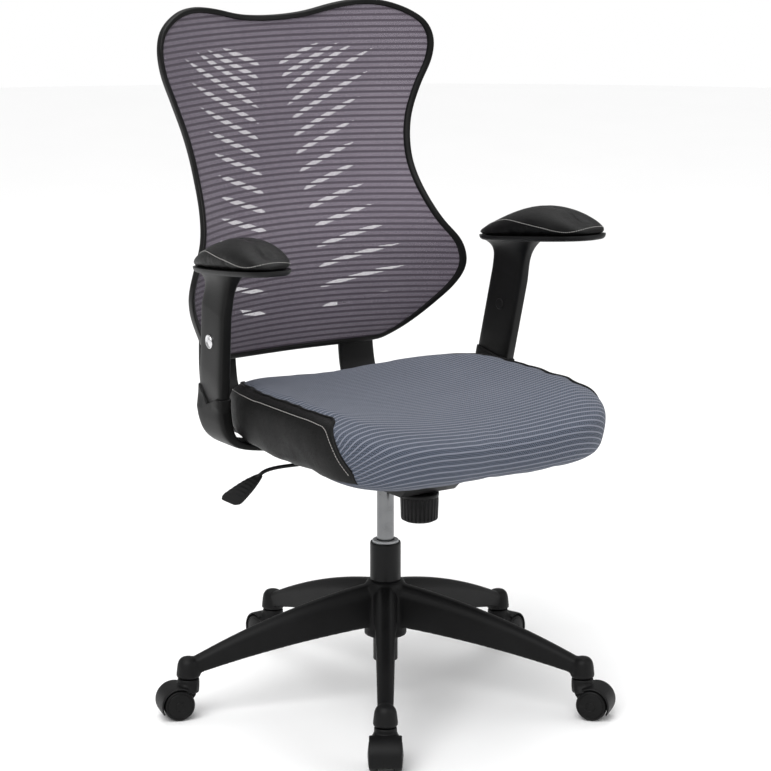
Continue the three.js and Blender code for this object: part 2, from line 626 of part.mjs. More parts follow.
// One leaf-shaped slot, rising outwards from the spine.
function slotCutter(row, side) {
  const x0 = SLOT.firstX + 2.5 * row;
  const z0 = SLOT.firstZ - 22 * row - 0.5 * row * row;
  const slope = min(0.7 - 0.036 * row, 0.43 + 0.08 * row);
  let x1 = x0;
  while (x1 < halfWidthAt(z0 + slope * (x1 - x0)) - SLOT.edgeDistance && z0 + slope * (x1 - x0) < SLOT.highest) x1 += 2;
  const z1 = z0 + slope * (x1 - x0);
  const length = Math.hypot(x1 - x0, z1 - z0);
  const across = [-(z1 - z0) / length, (x1 - x0) / length];
  const at = (t, w) => [side * (lerp(x0, x1, t) + across[0] * w), lerp(z0, z1, t) + across[1] * w];
  const w = SLOT.halfWidth;
  const leaf = [at(0, -0.4 * w), at(0.12, -w), at(0.8, -w), at(1, 0), at(0.8, w), at(0.12, w), at(0, 0.4 * w)];
  const shape = new THREE.Shape(leaf.map(([x, z]) => new THREE.Vector2(x, z)));
  const geometry = new THREE.ExtrudeGeometry(shape, { depth: 200, bevelEnabled: false });
  geometry.rotateX(PI / 2);
  return geometry.translate(0, 400, 0);
}

function makeBack() {
  makeRim();
  const mesh = backSheet(RIM_WIDTH + GAP, () => 0, () => 2.5);
  place('back_mesh', mesh, backMesh);
  const shellFront = (inside) => lerp(5, SHELL_BEHIND, sqrt(inside));
  const shell = backSheet(RIM_WIDTH + GAP, shellFront, (inside) => shellFront(inside) + 4.5);
  const slots = [];
  for (let row = 0; row < SLOT.rows; row++) slots.push(slotCutter(row, 1), slotCutter(row, -1));
  place('back_shell', toGeometry(toSolid(cut(shell, ...slots)).simplify(0.3)), blackNylon);
}

// Bent flat bar from under the seat pan up behind the shell.
function makeBracket(name, side) {
  const path = [[122, 431], [165, 431], [205, 432.5], [240, 438], [272, 452], [292, 476], [300, 510], [302, 560], [303, 612]];
  const half = 3.5;
  const rings = path.map(([y, z], i) => {
    const [ya, za] = path[max(0, i - 1)];
    const [yb, zb] = path[min(path.length - 1, i + 1)];
    const length = Math.hypot(yb - ya, zb - za);
    const [ny, nz] = [-(zb - za) / length, (yb - ya) / length];
    const inner = 102;
    const outer = lerp(187, 176, i / (path.length - 1));
    const corner = (x, s) => vec(side * x, y + s * half * ny, z + s * half * nz);
    return [corner(inner, -1), corner(outer, -1), corner(outer, 1), corner(inner, 1)];
  });
  place(name, loft(rings), blackSteel);
}

// ---------------------------------------------------------------- arms
// Frame of the sloping post: Z along the post, Y to the rear, X outwards.
function postMatrix() {
  const up = ARM_TOP.clone().sub(ARM_FOOT).normalize();
  const rear = vec(-sin(ARM_TOE_OUT * 0.8), cos(ARM_TOE_OUT * 0.8), 0);
  rear.addScaledVector(up, -rear.dot(up)).normalize();
  const out = rear.clone().cross(up);
  return new THREE.Matrix4().makeBasis(out, rear, up).setPosition(ARM_FOOT);
}

function padMatrix() {
  const climb = new THREE.Matrix4().makeRotationX(-ARM_PAD_RISE);
  const turn = new THREE.Matrix4().makeRotationZ(ARM_TOE_OUT);
  return turn.multiply(climb).setPosition(ARM_PAD.x, ARM_PAD.y, ARM_PAD.z);
}

const POST = postMatrix();
const PAD = padMatrix();
const onPost = (x, y, z) => vec(x, y, z).applyMatrix4(POST);
const onPad = (x, y, z) => vec(x, y, z).applyMatrix4(PAD);

function postRing(halfWidth, halfDepth, z, power = 6) {
  return superRing(16, power, (u, v) => onPost(halfWidth * u, halfDepth * v, z));
}

function armBracket() {
  const blade = box(-BLADE.halfWidth, BLADE.halfWidth, -BLADE.halfDepth, BLADE.halfDepth, -30, BLADE.top);
  blade.applyMatrix4(POST);
  // [x, y, z, thickness, depth, lean in degrees] from the collar down and under the seat
  const stations = [[269.8, 80, 500, 25, 78, 5], [267.5, 79, 482, 24, 77, 8], [262, 78, 463.5, 20, 76, 32],
    [250, 77, 449, 15, 75, 62], [232, 77, 440.6, 12, 74, 76], [205, 76, 434.6, 9.5, 73, 80],
    [185, 75, 433.2, 9.5, 72, 90], [128, 75, 433.2, 9.5, 72, 90]];
  const elbow = stations.map(([x, y, z, thickness, depth, lean]) => {
    const a = THREE.MathUtils.degToRad(lean);
    return superRing(16, 6, (u, v) =>
      vec(x + cos(a) * u * thickness * 0.5, y + v * depth * 0.5, z - sin(a) * u * thickness * 0.5));
  });
  const collar = [postRing(12.8, 40.2, 2), postRing(12.8, 40.2, -12)];
  const shape = loft([...collar, ...elbow]);
  const pocket = loft([postRing(SLEEVE.halfWidth + 0.6, SLEEVE.halfDepth + 0.6, SLEEVE.bottom - 1),
    postRing(SLEEVE.halfWidth + 0.6, SLEEVE.halfDepth + 0.6, 10)]);
  const notch = loft([notchRing(8), notchRing(20)]);
  return join(cut(shape, pocket, notch), blade);
}

// V-shaped notch in the collar's outer face, as a ring at a distance outwards.
const notchRing = (x) => [onPost(x, -36, 4), onPost(x, 0, -17), onPost(x, 36, 4)];

function armSleeve() {
  const { halfDepth, halfWidth, bottom, top } = SLEEVE;
  const base = ARM_PAD.halfWidth * 0.62;
  const flare = (grow, z, halfX, halfY, shift) => superRing(16, lerp(6, 3.2, grow), (u, v) => {
    const low = onPost(halfWidth * u, halfDepth * v, 168);
    const high = onPad(halfX * u, shift + halfY * v, z);
    return low.lerp(high, grow);
  });
  const shift = 58;
  const tube = loft([postRing(halfWidth - 0.8, halfDepth - 0.8, bottom), postRing(halfWidth, halfDepth, bottom + 1),
    flare(0, -1, base, 70, shift), flare(0.55, -3, 16, 44, shift + 2), flare(0.85, -2, base * 0.8, 56, shift),
    flare(1, -0.5, base, 76, shift - 2)]);
  const bore = box(-BLADE.halfWidth - 0.6, BLADE.halfWidth + 0.6, -BLADE.halfDepth - 0.8, BLADE.halfDepth + 0.8,
    bottom - 2, top - 8);
  bore.applyMatrix4(POST);
  const buttonHole = cylinder(BUTTON.r + 0.6, 0, 30, 16);
  buttonHole.rotateY(PI / 2);
  buttonHole.translate(0, 0, BUTTON.up);
  buttonHole.applyMatrix4(POST);
  return cut(tube, bore, buttonHole);
}

function armButton() {
  const { r, up, inner, outer } = BUTTON;
  const button = turned([[0, inner], [r, inner], [r, outer - 1], [r - 2, outer], [0, outer + 0.5]], 16);
  button.rotateY(PI / 2);
  button.translate(0, 0, up);
  return button.applyMatrix4(POST);
}

// Height of the arm rest's top along it, from the front end (-1) to the rear end (1).
const PAD_HEIGHT = [[-1, 24], [-0.8, 38], [-0.5, 50], [-0.15, 54], [0.3, 49], [0.7, 36], [1, 22]];

// Plan ring of the arm rest: wider in front, narrower behind. level gives the height
// from how far along the rest a point is.
function restRing(shrink, level) {
  return superRing(28, 2.7, (u, v) => {
    const width = ARM_PAD.halfWidth * (v < 0 ? 1 : 1 - 0.16 * v * v) - shrink;
    return onPad(width * u, (ARM_PAD.halfLength - shrink) * v, level(v));
  });
}

function armBase() {
  return loft([[8, 0], [2, 3], [1, PAD_BASE_THICKNESS - 0.5]].map(([shrink, z]) => restRing(shrink, () => z)));
}

function armPad() {
  const low = PAD_BASE_THICKNESS;
  const levels = [[3, 0], [0.3, 0.1], [0, 0.32], [3.5, 0.56], [12, 0.78], [22, 0.92], [33, 1]];
  return loft(levels.map(([shrink, t]) => restRing(shrink, (v) => low + (smooth(PAD_HEIGHT, v) - low) * t)));
}

function makeArms() {
  const pieces = {
    arm_bracket: [armBracket(), blackPlastic],
    arm_sleeve: [armSleeve(), blackPlastic],
    arm_button: [armButton(), chrome],
    arm_base: [armBase(), blackPlastic],
    arm_pad: [armPad(), blackVinyl],
  };
  for (const [name, [geometry, material]] of Object.entries(pieces)) {
    place(`${name}_left`, geometry, material);
    place(`${name}_right`, mirrored(geometry), material);
  }
}

// ---------------------------------------------------------------- assembly
makeBase();
for (let leg = 0; leg < LEG_COUNT; leg++) makeCaster(leg);
makeGasLift();
makeMechanism();
makeTension();
makeLever();
makePan();
makeSeat();
makeBack();
makeBracket('back_bracket_left', 1);
makeBracket('back_bracket_right', -1);
makeArms();

export default chair;
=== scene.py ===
# %% [markdown]
# # A mesh-back swivel chair
# The chair stands on five casters. A gas lift carries the seat, the seat carries a back
# with a butterfly outline, and two T-arms slide on blades beside the cushion. Every part
# of the mechanism already exists as a measured solid, so this lesson dresses that frame:
# it gives each visible part a finer shape, a finish and the body that it moves with.

# %% Tools and the measured frame
import bpy
import bmesh
import math
from mathutils import Matrix, Vector
from mathutils.bvhtree import BVHTree


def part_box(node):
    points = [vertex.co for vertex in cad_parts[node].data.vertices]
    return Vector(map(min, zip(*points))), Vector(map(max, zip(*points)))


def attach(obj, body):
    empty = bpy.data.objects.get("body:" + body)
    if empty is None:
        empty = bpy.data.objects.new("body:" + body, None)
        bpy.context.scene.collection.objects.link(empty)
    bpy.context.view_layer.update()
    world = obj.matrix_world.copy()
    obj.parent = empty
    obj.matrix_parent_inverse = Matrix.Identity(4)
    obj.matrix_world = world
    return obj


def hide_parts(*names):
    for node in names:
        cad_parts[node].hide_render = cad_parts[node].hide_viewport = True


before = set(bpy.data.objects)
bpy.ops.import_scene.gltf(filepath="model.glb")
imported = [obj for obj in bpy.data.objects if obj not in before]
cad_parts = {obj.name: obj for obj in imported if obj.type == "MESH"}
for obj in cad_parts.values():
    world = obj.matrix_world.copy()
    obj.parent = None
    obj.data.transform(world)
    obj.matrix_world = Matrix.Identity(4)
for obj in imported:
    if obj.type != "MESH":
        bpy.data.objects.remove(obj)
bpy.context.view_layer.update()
tube_low, tube_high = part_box("gas_outer_tube")
COLUMN = Vector(((tube_low[0] + tube_high[0]) / 2, (tube_low[1] + tube_high[1]) / 2, 0))
print("column stands at", [round(c, 4) for c in COLUMN])

# %% [markdown]
# Sizes are easiest to read in millimetres about the column's axis, and Blender works in
# metres. One small function turns the first into the second. +Z is up, the sitter faces
# -Y and the sitter's left is +X.

# %% Millimetres about the column
def at(x, y, z):
    return COLUMN + Vector((x, y, z)) * 0.001


def lerp(a, b, t):
    return a + (b - a) * t


# %% [markdown]
# ## Camera, floor and light
# The chair is seen from its front right, a little above the seat, through a long lens that
# keeps the legs of the base from spreading. The floor is plain and pale. Three large soft
# lights shape it: a broad sun from the camera's left, a fill from its right and one overhead.

# %% Camera
def aimed(obj, place, direction):
    obj.location = place
    obj.rotation_euler = Vector(direction).to_track_quat("-Z", "Y").to_euler()
    bpy.context.collection.objects.link(obj)
    return obj


DOWN = math.radians(12.68)
heading = Vector((0.5493, 0.8356, 0)).normalized() * math.cos(DOWN)
camera = bpy.data.objects.new("camera", bpy.data.cameras.new("camera"))
camera.data.lens = 127.3
camera.data.sensor_width = 36
camera.data.clip_end = 100
aimed(camera, at(-2334.6, -3551.6, 1475.0), heading - Vector((0, 0, math.sin(DOWN))))
bpy.context.scene.camera = camera
print("camera at", [round(c, 3) for c in camera.location])


# %% Lamps and sky
def soft_lamp(name, place, target, size, watts):
    lamp = bpy.data.lights.new(name, "AREA")
    lamp.shape = "DISK"
    lamp.size = size
    lamp.energy = watts
    place, target = Vector(place), Vector(target)
    return aimed(bpy.data.objects.new(name, lamp), place, target - place)


soft_lamp("fill", (2.6, -3.4, 2.2), (0, 0, 0.6), 2.6, 45)
soft_lamp("overhead", (0.3, 0.8, 3.6), (0, 0, 0.5), 3.0, 60)
key = bpy.data.lights.new("key", "SUN")
key.energy = 2.6
key.angle = math.radians(50)
aimed(bpy.data.objects.new("key", key), (-3.2, -2.2, 3.2), (0.55, 0.35, -0.76))


# %% Sky
def white_room():
    """White to look at, but dimmer as a light, so that black parts stay black."""
    sky = bpy.data.worlds.new("sky")
    sky.use_nodes = True
    nodes, links = sky.node_tree.nodes, sky.node_tree.links
    seen = nodes.new("ShaderNodeLightPath")
    strength = nodes.new("ShaderNodeMapRange")
    strength.inputs["To Min"].default_value = 0.42
    strength.inputs["To Max"].default_value = 1.0
    nodes["Background"].inputs["Color"].default_value = (1, 1, 1, 1)
    links.new(seen.outputs["Is Camera Ray"], strength.inputs["Value"])
    links.new(strength.outputs["Result"], nodes["Background"].inputs["Strength"])
    return sky


bpy.context.scene.world = white_room()
bpy.context.scene.view_settings.view_transform = "Standard"

# %% [markdown]
# ## Writing finishes as expressions
# A finish is a small network of shader nodes. Laying nodes by hand takes many lines, so a
# `Value` wraps a socket and lets plain Python write the maths: `mask * 0.3 + 0.1` adds the
# two Math nodes. Every other node comes from `Finish.node`, which takes the node's type,
# its settings and the values or links of its sockets.

# %% A socket that can be used in sums
class Value:
    def __init__(self, finish, socket):
        self.finish = finish
        self.socket = socket

    def sum(self, operation, *values):
        return self.finish.node("ShaderNodeMath", {"operation": operation}, *values)

    def __add__(self, other):
        return self.sum("ADD", self, other)

    def __sub__(self, other):
        return self.sum("SUBTRACT", self, other)

    def __mul__(self, other):
        return self.sum("MULTIPLY", self, other)

    def __truediv__(self, other):
        return self.sum("DIVIDE", self, other)

    def __rsub__(self, other):
        return self.sum("SUBTRACT", other, self)

    __radd__ = __add__
    __rmul__ = __mul__

    def fraction(self):
        return self.sum("FRACT", self)

    def floor(self):
        return self.sum("FLOOR", self)

    def size(self):
        return self.sum("ABSOLUTE", self)

    def step(self, edge, blur):
        """0 below the edge and 1 above it, blurred by that much on each side."""
        return self.finish.node("ShaderNodeMapRange", {"interpolation_type": "SMOOTHSTEP"},
                                self, edge - blur, edge + blur, 0.0, 1.0)


# %% A network of nodes, and a finish
class Network:
    def place(self, node, socket, value):
        target = node.inputs[socket]
        if isinstance(value, Value):
            self.tree.links.new(value.socket, target)
        else:
            target.default_value = value

    def node(self, kind, settings, *values, out=0, **named):
        node = self.tree.nodes.new(kind)
        for key, value in settings.items():
            setattr(node, key, value)
        for index, value in enumerate(values):
            self.place(node, index, value)
        for key, value in named.items():
            self.place(node, key.replace("_", " "), value)
        return Value(self, node.outputs[out])


class Finish(Network):
    def __init__(self, name, color, roughness, metallic=0.0, **sockets):
        self.material = bpy.data.materials.new(name)
        self.material.use_nodes = True
        self.tree = self.material.node_tree
        self.shader = self.tree.nodes["Principled BSDF"]
        self.shade(Base_Color=(*color, 1), Roughness=roughness, Metallic=metallic, **sockets)

    def shade(self, **sockets):
        for socket, value in sockets.items():
            self.place(self.shader, socket.replace("_", " "), value)

    def spot(self):
        """Where the surface is, in metres."""
        return self.node("ShaderNodeTexCoord", {}, out="Object")

    def noise(self, scale, detail=3.0, where=None):
        return self.node("ShaderNodeTexNoise", {}, Vector=where or self.spot(), Scale=scale, Detail=detail)

    def mix(self, mask, first, second):
        mixer = self.tree.nodes.new("ShaderNodeMix")
        mixer.data_type = "RGBA"
        self.place(mixer, 0, mask)
        for index, color in ((6, first), (7, second)):
            self.place(mixer, index, color if isinstance(color, Value) else (*color, 1))
        return Value(self, mixer.outputs[2])

    def bump(self, height, strength, depth, under=None):
        inputs = {"Height": height, "Strength": strength, "Distance": depth}
        if under:
            inputs["Normal"] = under
        return self.node("ShaderNodeBump", {}, **inputs)

    def split(self, vector):
        node = self.tree.nodes.new("ShaderNodeSeparateXYZ")
        self.place(node, 0, vector)
        return [Value(self, output) for output in node.outputs]


# %% [markdown]
# The base, the caster hoods and the shell are glass-filled nylon with a fine spark-eroded
# grain. The arms, knob and rim have a smoother satin skin. On both, handled edges go a
# little paler and slicker, which the Pointiness of the surface finds without any map.

# %% Moulded plastics
def moulded(name, color, roughness, grain, depth, wear=0.5):
    finish = Finish(name, color, roughness, Specular_IOR_Level=0.14)
    fine = finish.noise(grain, 2.0)
    broad = finish.noise(22.0, 4.0)
    edge = finish.node("ShaderNodeNewGeometry", {}, out="Pointiness").step(0.53, 0.025)
    worn = edge * wear * broad.step(0.45, 0.2)
    pale = tuple(c * 1.8 + 0.008 for c in color)
    dusty = tuple(c * 1.25 + 0.002 for c in color)
    tone = finish.mix(broad.step(0.55, 0.25) * 0.6, color, dusty)
    finish.shade(Base_Color=finish.mix(worn, tone, pale),
                 Roughness=roughness - worn * 0.12 + (fine - 0.5) * 0.1 + (broad - 0.5) * 0.12,
                 Normal=finish.bump(fine, 0.35, depth))
    return finish.material


nylon = moulded("black_nylon_grain", (0.0045, 0.0045, 0.0047), 0.5, 1500.0, 0.00025)
satin = moulded("satin_black_plastic", (0.004, 0.004, 0.004), 0.42, 2300.0, 0.00012)
knob_plastic = moulded("knob_black_plastic", (0.0048, 0.0048, 0.005), 0.38, 2000.0, 0.0001, 0.8)
bush_nylon = moulded("pale_nylon_bush", (0.4, 0.41, 0.42), 0.42, 1200.0, 0.0001, 0.2)

# %% [markdown]
# Metal comes in four finishes. Powder coat has a soft orange peel. Zinc plate shows faint
# draw lines and a cloudy spangle. The lift's inner tube is hard chrome, ground round and
# round, with a film of grease that dulls it in patches.

# %% Metals
def coated(name, color, roughness):
    finish = Finish(name, color, roughness, Specular_IOR_Level=0.16, Coat_Weight=0.02, Coat_Roughness=0.3)
    peel = finish.noise(650.0, 2.0)
    dust = finish.noise(30.0, 5.0)
    edge = finish.node("ShaderNodeNewGeometry", {}, out="Pointiness").step(0.56, 0.03)
    finish.shade(Base_Color=finish.mix(edge * 0.35, color, (0.06, 0.06, 0.062)),
                 Roughness=roughness + (dust - 0.5) * 0.16,
                 Normal=finish.bump(peel, 0.25, 0.0003))
    return finish.material


def bare_metal(name, color, roughness, lines_along, line_scale, cloud):
    finish = Finish(name, color, roughness, 1.0)
    stretched = finish.node("ShaderNodeMapping", {}, finish.spot(), Scale=lines_along)
    lines = finish.noise(line_scale, 2.0, stretched)
    clouds = finish.noise(45.0, 4.0)
    dull = tuple(c * 0.72 for c in color)
    finish.shade(Base_Color=finish.mix(clouds.step(0.55, 0.2) * cloud, color, dull),
                 Roughness=roughness + (lines - 0.5) * 0.18 + clouds.step(0.52, 0.2) * cloud * 0.2,
                 Normal=finish.bump(lines, 0.12, 0.00008))
    return finish.material


powder_coat = coated("black_powder_coat", (0.0055, 0.0055, 0.0058), 0.4)
zinc = bare_metal("zinc_plate", (0.5, 0.5, 0.5), 0.34, (1, 1, 0.15), 900.0, 0.7)
chrome = bare_metal("ground_chrome", (0.17, 0.173, 0.177), 0.2, (0.05, 0.05, 1), 1600.0, 0.35)
button_chrome = bare_metal("button_chrome", (0.72, 0.72, 0.73), 0.14, (1, 1, 1), 700.0, 0.2)

# %% [markdown]
# The seat's sides and the arm pads are black vinyl with a leather grain: small cells with
# creases between them, the creases darkened with painted shade, over a slow unevenness that
# the eye reads as softness. The seams are sewn with a pale twisted thread.

# %% Vinyl and thread
def vinyl(name, color, roughness, cell, seam=False):
    finish = Finish(name, color, roughness, Specular_IOR_Level=0.16, Sheen_Weight=0.01)
    wobble = finish.noise(160.0, 2.0)
    warped = finish.node("ShaderNodeVectorMath", {"operation": "MULTIPLY_ADD"},
                         finish.node("ShaderNodeTexNoise", {}, Vector=finish.spot(), Scale=220.0, out=1),
                         (0.0012, 0.0012, 0.0012), finish.spot())
    crease = finish.node("ShaderNodeTexVoronoi", {"feature": "DISTANCE_TO_EDGE"}, Vector=warped, Scale=cell)
    cells = finish.node("ShaderNodeTexVoronoi", {"feature": "F1"}, Vector=warped, Scale=cell)
    plump = crease.step(0.09, 0.09)
    slow = finish.noise(28.0, 3.0)
    pale = tuple(c * 1.6 + 0.0015 for c in color)
    # The creases are painted darker than the cells: painted shade in the creases.
    skin = finish.mix(plump * 0.7, tuple(c * 0.6 for c in color),
                      finish.mix(slow.step(0.5, 0.25), color, pale))
    if seam:
        above, _, _ = finish.split(finish.node("ShaderNodeUVMap", {"uv_map": "seam"}))
        skin = finish.mix(above.step(0.0, 0.0004), (0.002, 0.002, 0.002), skin)
    finish.shade(Base_Color=skin,
                 Roughness=roughness + (1 - plump) * 0.16 + (slow - 0.5) * 0.14,
                 Normal=finish.bump(slow, 0.35, 0.002,
                                    finish.bump(plump - cells * 0.25 + wobble * 0.2, 0.3, 0.0004)))
    return finish.material


side_vinyl = vinyl("side_panel_vinyl", (0.003, 0.003, 0.003), 0.46, 520.0)
pad_vinyl = vinyl("arm_pad_vinyl", (0.0065, 0.0065, 0.0065), 0.44, 560.0, seam=True)


def thread(name, color):
    finish = Finish(name, color, 0.75, Sheen_Weight=0.3)
    twist = finish.noise(3200.0, 2.0)
    finish.shade(Base_Color=finish.mix(twist.step(0.45, 0.2), tuple(c * 0.55 for c in color), color),
                 Normal=finish.bump(twist, 0.6, 0.0002))
    return finish.material


pale_thread = thread("pale_thread", (0.5, 0.49, 0.47))
print("plain finishes made")

# %% [markdown]
# The seat cloth is a spacer knit: soft ridges run across the chair about 9.5 mm apart, and
# between them lie rows of small eyelets, painted near black as the shade inside the holes. The
# pattern has to follow the cloth as it rolls over the front lip, so it reads a UV map laid out
# in metres: U across, V along the cloth.

# %% Seat cloth
RIDGE = 0.0095  # from one ridge of the cloth to the next
EYELET = 0.0036  # from one eyelet to the next along a row


def seat_cloth():
    finish = Finish("ribbed_seat_cloth", (0.09, 0.105, 0.14), 0.85, Sheen_Weight=0.12, Sheen_Roughness=0.4,
                    Specular_IOR_Level=0.3)
    across, along, _ = finish.split(finish.node("ShaderNodeUVMap", {"uv_map": "cloth"}))
    phase = (along / RIDGE + (finish.noise(14.0, 2.0) - 0.5) * 0.12).fraction()
    ridge = 1 - (phase - 0.5).size().step(0.15, 0.11)
    row = (phase * 4.0 + 0.5).fraction() - 0.5
    stagger = (phase * 4.0 + 0.5).floor() * 0.5
    eyelet = ((across / EYELET + stagger).fraction() - 0.5)
    hole = 1 - (row * row + eyelet * eyelet * 0.8).step(0.15, 0.05)
    open_rows = hole * (1 - ridge)
    knit = finish.node("ShaderNodeTexWave", {"wave_type": "BANDS", "bands_direction": "X"},
                       Vector=finish.node("ShaderNodeUVMap", {"uv_map": "cloth"}),
                       Scale=260.0, Distortion=1.2, Detail=2.0, out="Fac")
    fuzz = finish.noise(1800.0, 3.0)
    tone = finish.noise(9.0, 4.0)
    body = finish.mix(tone.step(0.5, 0.3), (0.105, 0.128, 0.18), (0.13, 0.153, 0.208))
    raised = finish.mix(ridge, body, (0.19, 0.203, 0.25))
    speckled = finish.mix(fuzz.step(0.5, 0.22) * 0.28, raised, (0.045, 0.052, 0.07))
    height = ridge * 1.0 + knit * 0.12 + fuzz * 0.15 - open_rows * 0.8
    # The eyelets are painted near black: painted shade inside the holes.
    finish.shade(Base_Color=finish.mix(open_rows * 0.85, speckled, (0.01, 0.011, 0.015)),
                 Roughness=0.78 + fuzz * 0.14 + open_rows * 0.08,
                 Normal=finish.bump(height, 0.75, 0.0011))
    return finish.material


cloth = seat_cloth()

# %% [markdown]
# The back is covered by an open mesh. Tight dark courses alternate with wider courses of a
# paler, looser knit. Holes are over a third of a loose course and about a quarter of the
# whole sheet, so the shell shows as darkness behind it and its slots show as pale dashes.
# Real holes would need millions of faces, so the holes are cut with Alpha from the same
# pattern.

# %% Back mesh
COURSE = 0.0098  # from one dark course of the mesh to the next
LOOP = 0.0016  # from one loop to the next along a course


def back_netting():
    finish = Finish("striped_back_mesh", (0.2, 0.17, 0.21), 0.8, Sheen_Weight=0.1, Specular_IOR_Level=0.3)
    across, up, _ = finish.split(finish.node("ShaderNodeUVMap", {"uv_map": "cloth"}))
    phase = (up / COURSE).fraction()
    tight = (phase - 0.5).size().step(0.31, 0.07)
    row = (phase * 6.0).fraction() - 0.5
    stagger = (phase * 6.0).floor() * 0.5
    column = (across / LOOP + stagger).fraction() - 0.5
    hole = (1 - (row * row + column * column).step(0.12, 0.03)) * (1 - tight)
    fuzz = finish.noise(2200.0, 3.0)
    tone = finish.noise(7.0, 3.0)
    loose = finish.mix(tone.step(0.5, 0.3), (0.255, 0.222, 0.272), (0.3, 0.265, 0.315))
    color = finish.mix(tight, loose, (0.062, 0.05, 0.066))
    finish.shade(Base_Color=finish.mix(fuzz.step(0.5, 0.25) * 0.25, color, (0.1, 0.085, 0.11)),
                 Alpha=1 - hole * 0.96,
                 Roughness=0.74 + fuzz * 0.16,
                 Normal=finish.bump((1 - tight) * 0.8 + fuzz * 0.2, 0.6, 0.0007))
    return finish.material


netting = back_netting()
print("cloth finishes made")

# %% [markdown]
# ## Making shapes
# Nearly every part here is a row of rings joined by faces: a turned part is rings round an
# axis, an arm is rings along its length. `loft` joins them, and `made` turns points in
# millimetres into an object whose place is in its mesh.

# %% Rings, lofts and turned parts
def loft(rings, loop=False, caps=True):
    count = len(rings[0])
    faces = []
    for r in range(len(rings) if loop else len(rings) - 1):
        s = (r + 1) % len(rings)
        for i in range(count):
            j = (i + 1) % count
            faces.append((r * count + i, r * count + j, s * count + j, s * count + i))
    if caps and not loop:
        faces.append(tuple(range(count)))
        faces.append(tuple(range((len(rings) - 1) * count, len(rings) * count)))
    return [point for ring in rings for point in ring], faces


def signed_power(value, power):
    return math.copysign(abs(value) ** power, value)


def super_ring(count, power, put):
    """A ring between an ellipse (power 2) and a rectangle (a high power)."""
    ring = []
    for i in range(count):
        a = 2 * math.pi * (i + 0.5) / count
        ring.append(put(signed_power(math.cos(a), 2 / power), signed_power(math.sin(a), 2 / power)))
    return ring


def eased(profile, radius, steps=3):
    """The same profile with its inner corners rounded."""
    points = [Vector(p) for p in profile]
    result = [points[0]]
    for before, corner, after in zip(points, points[1:], points[2:]):
        reach = min(radius, (before - corner).length / 2, (after - corner).length / 2)
        start = corner + (before - corner).normalized() * reach
        end = corner + (after - corner).normalized() * reach
        for i in range(steps + 1):
            t = i / steps
            result.append(start * (1 - t) ** 2 + corner * 2 * t * (1 - t) + end * t * t)
    return [tuple(p) for p in result + [points[-1]]]


def turned(profile, segments=64, radius=0.8):
    """A turned shape about Z from (radius, height) pairs that start and end on the axis."""
    rings = []
    for r, z in eased(profile, radius):
        rings.append([Vector((r * math.cos(2 * math.pi * i / segments),
                              r * math.sin(2 * math.pi * i / segments), z))
                      for i in range(segments)])
    return loft(rings, caps=False)


def moved(shape, matrix):
    points, faces = shape
    return [matrix @ Vector(p) for p in points], faces


def joined(*shapes):
    points, faces = [], []
    for more_points, more_faces in shapes:
        start = len(points)
        points += more_points
        faces += [tuple(start + i for i in face) for face in more_faces]
    return points, faces


# %% From points to an object
def tidy(obj, crease=35):
    """Merges doubles, turns the faces outwards and shades them smooth up to a crease."""
    mesh = bmesh.new()
    mesh.from_mesh(obj.data)
    bmesh.ops.remove_doubles(mesh, verts=mesh.verts, dist=1e-6)
    bmesh.ops.recalc_face_normals(mesh, faces=mesh.faces)
    mesh.to_mesh(obj.data)
    mesh.free()
    obj.data.shade_smooth()
    obj.data.set_sharp_from_angle(angle=math.radians(crease))
    return obj


def made(name, shape, finish, crease=35):
    points, faces = shape
    mesh = bpy.data.meshes.new(name)
    mesh.from_pydata([at(*p) for p in points], [], faces)
    mesh.materials.append(finish)
    obj = bpy.data.objects.new(name, mesh)
    bpy.context.collection.objects.link(obj)
    return tidy(obj, crease)


def modify(obj, kind, **settings):
    modifier = obj.modifiers.new(kind.lower(), kind)
    for key, value in settings.items():
        setattr(modifier, key, value)
    return modifier


def settled(obj):
    """Turns an object's modifiers into plain mesh."""
    graph = bpy.context.evaluated_depsgraph_get()
    mesh = bpy.data.meshes.new_from_object(obj.evaluated_get(graph))
    obj.modifiers.clear()
    obj.data = mesh
    return obj


def placed(obj, body, *nodes, slot=None):
    """Rides a finished piece on its body and lets it stand for CAD nodes."""
    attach(obj, body)
    if nodes:
        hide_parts(*nodes)
    print(f"{obj.name}: {len(obj.data.polygons)} faces on {body}")
    return obj


# %% [markdown]
# A moulding has no sharp inner corners. Where lofts meet, as legs meet a hub, a voxel
# remesh of the overlapping solids followed by a few rounds of smoothing gives the fillets
# that the mould has. Flat pressed and cast parts get a small bevel instead.

# %% Moulded and bevelled parts
def fused(name, shape, finish, voxel, rounds=4):
    obj = made(name, shape, finish)
    modify(obj, "REMESH", mode="VOXEL", voxel_size=voxel, use_smooth_shade=True)
    modify(obj, "SMOOTH", factor=0.5, iterations=rounds)
    settled(obj)
    obj.data.materials.clear()
    obj.data.materials.append(finish)
    obj.data.shade_smooth()
    return obj


def bevelled_node(node, finish, width, segments=2):
    """A copy of a CAD node with eased edges."""
    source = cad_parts[node]
    obj = bpy.data.objects.new(node + "_eased", source.data.copy())
    bpy.context.collection.objects.link(obj)
    mesh = bmesh.new()
    mesh.from_mesh(obj.data)
    bmesh.ops.remove_doubles(mesh, verts=mesh.verts, dist=1e-5)
    bmesh.ops.dissolve_limit(mesh, angle_limit=math.radians(2), verts=mesh.verts, edges=mesh.edges)
    mesh.to_mesh(obj.data)
    mesh.free()
    modify(obj, "BEVEL", width=width, segments=segments, limit_method="ANGLE", angle_limit=math.radians(40))
    settled(obj)
    obj.data.materials.clear()
    obj.data.materials.append(finish)
    obj.data.shade_smooth()
    obj.data.set_sharp_from_angle(angle=math.radians(30))
    return obj


# %% [markdown]
# ## Recipes for what repeats
# Stitches, bolts, ribs and slots repeat along a line or round a circle, which Geometry
# Nodes do from a few named sizes. A `Recipe` holds such a tree. `grow` runs it on a guide
# object and keeps only the plain mesh that comes out.

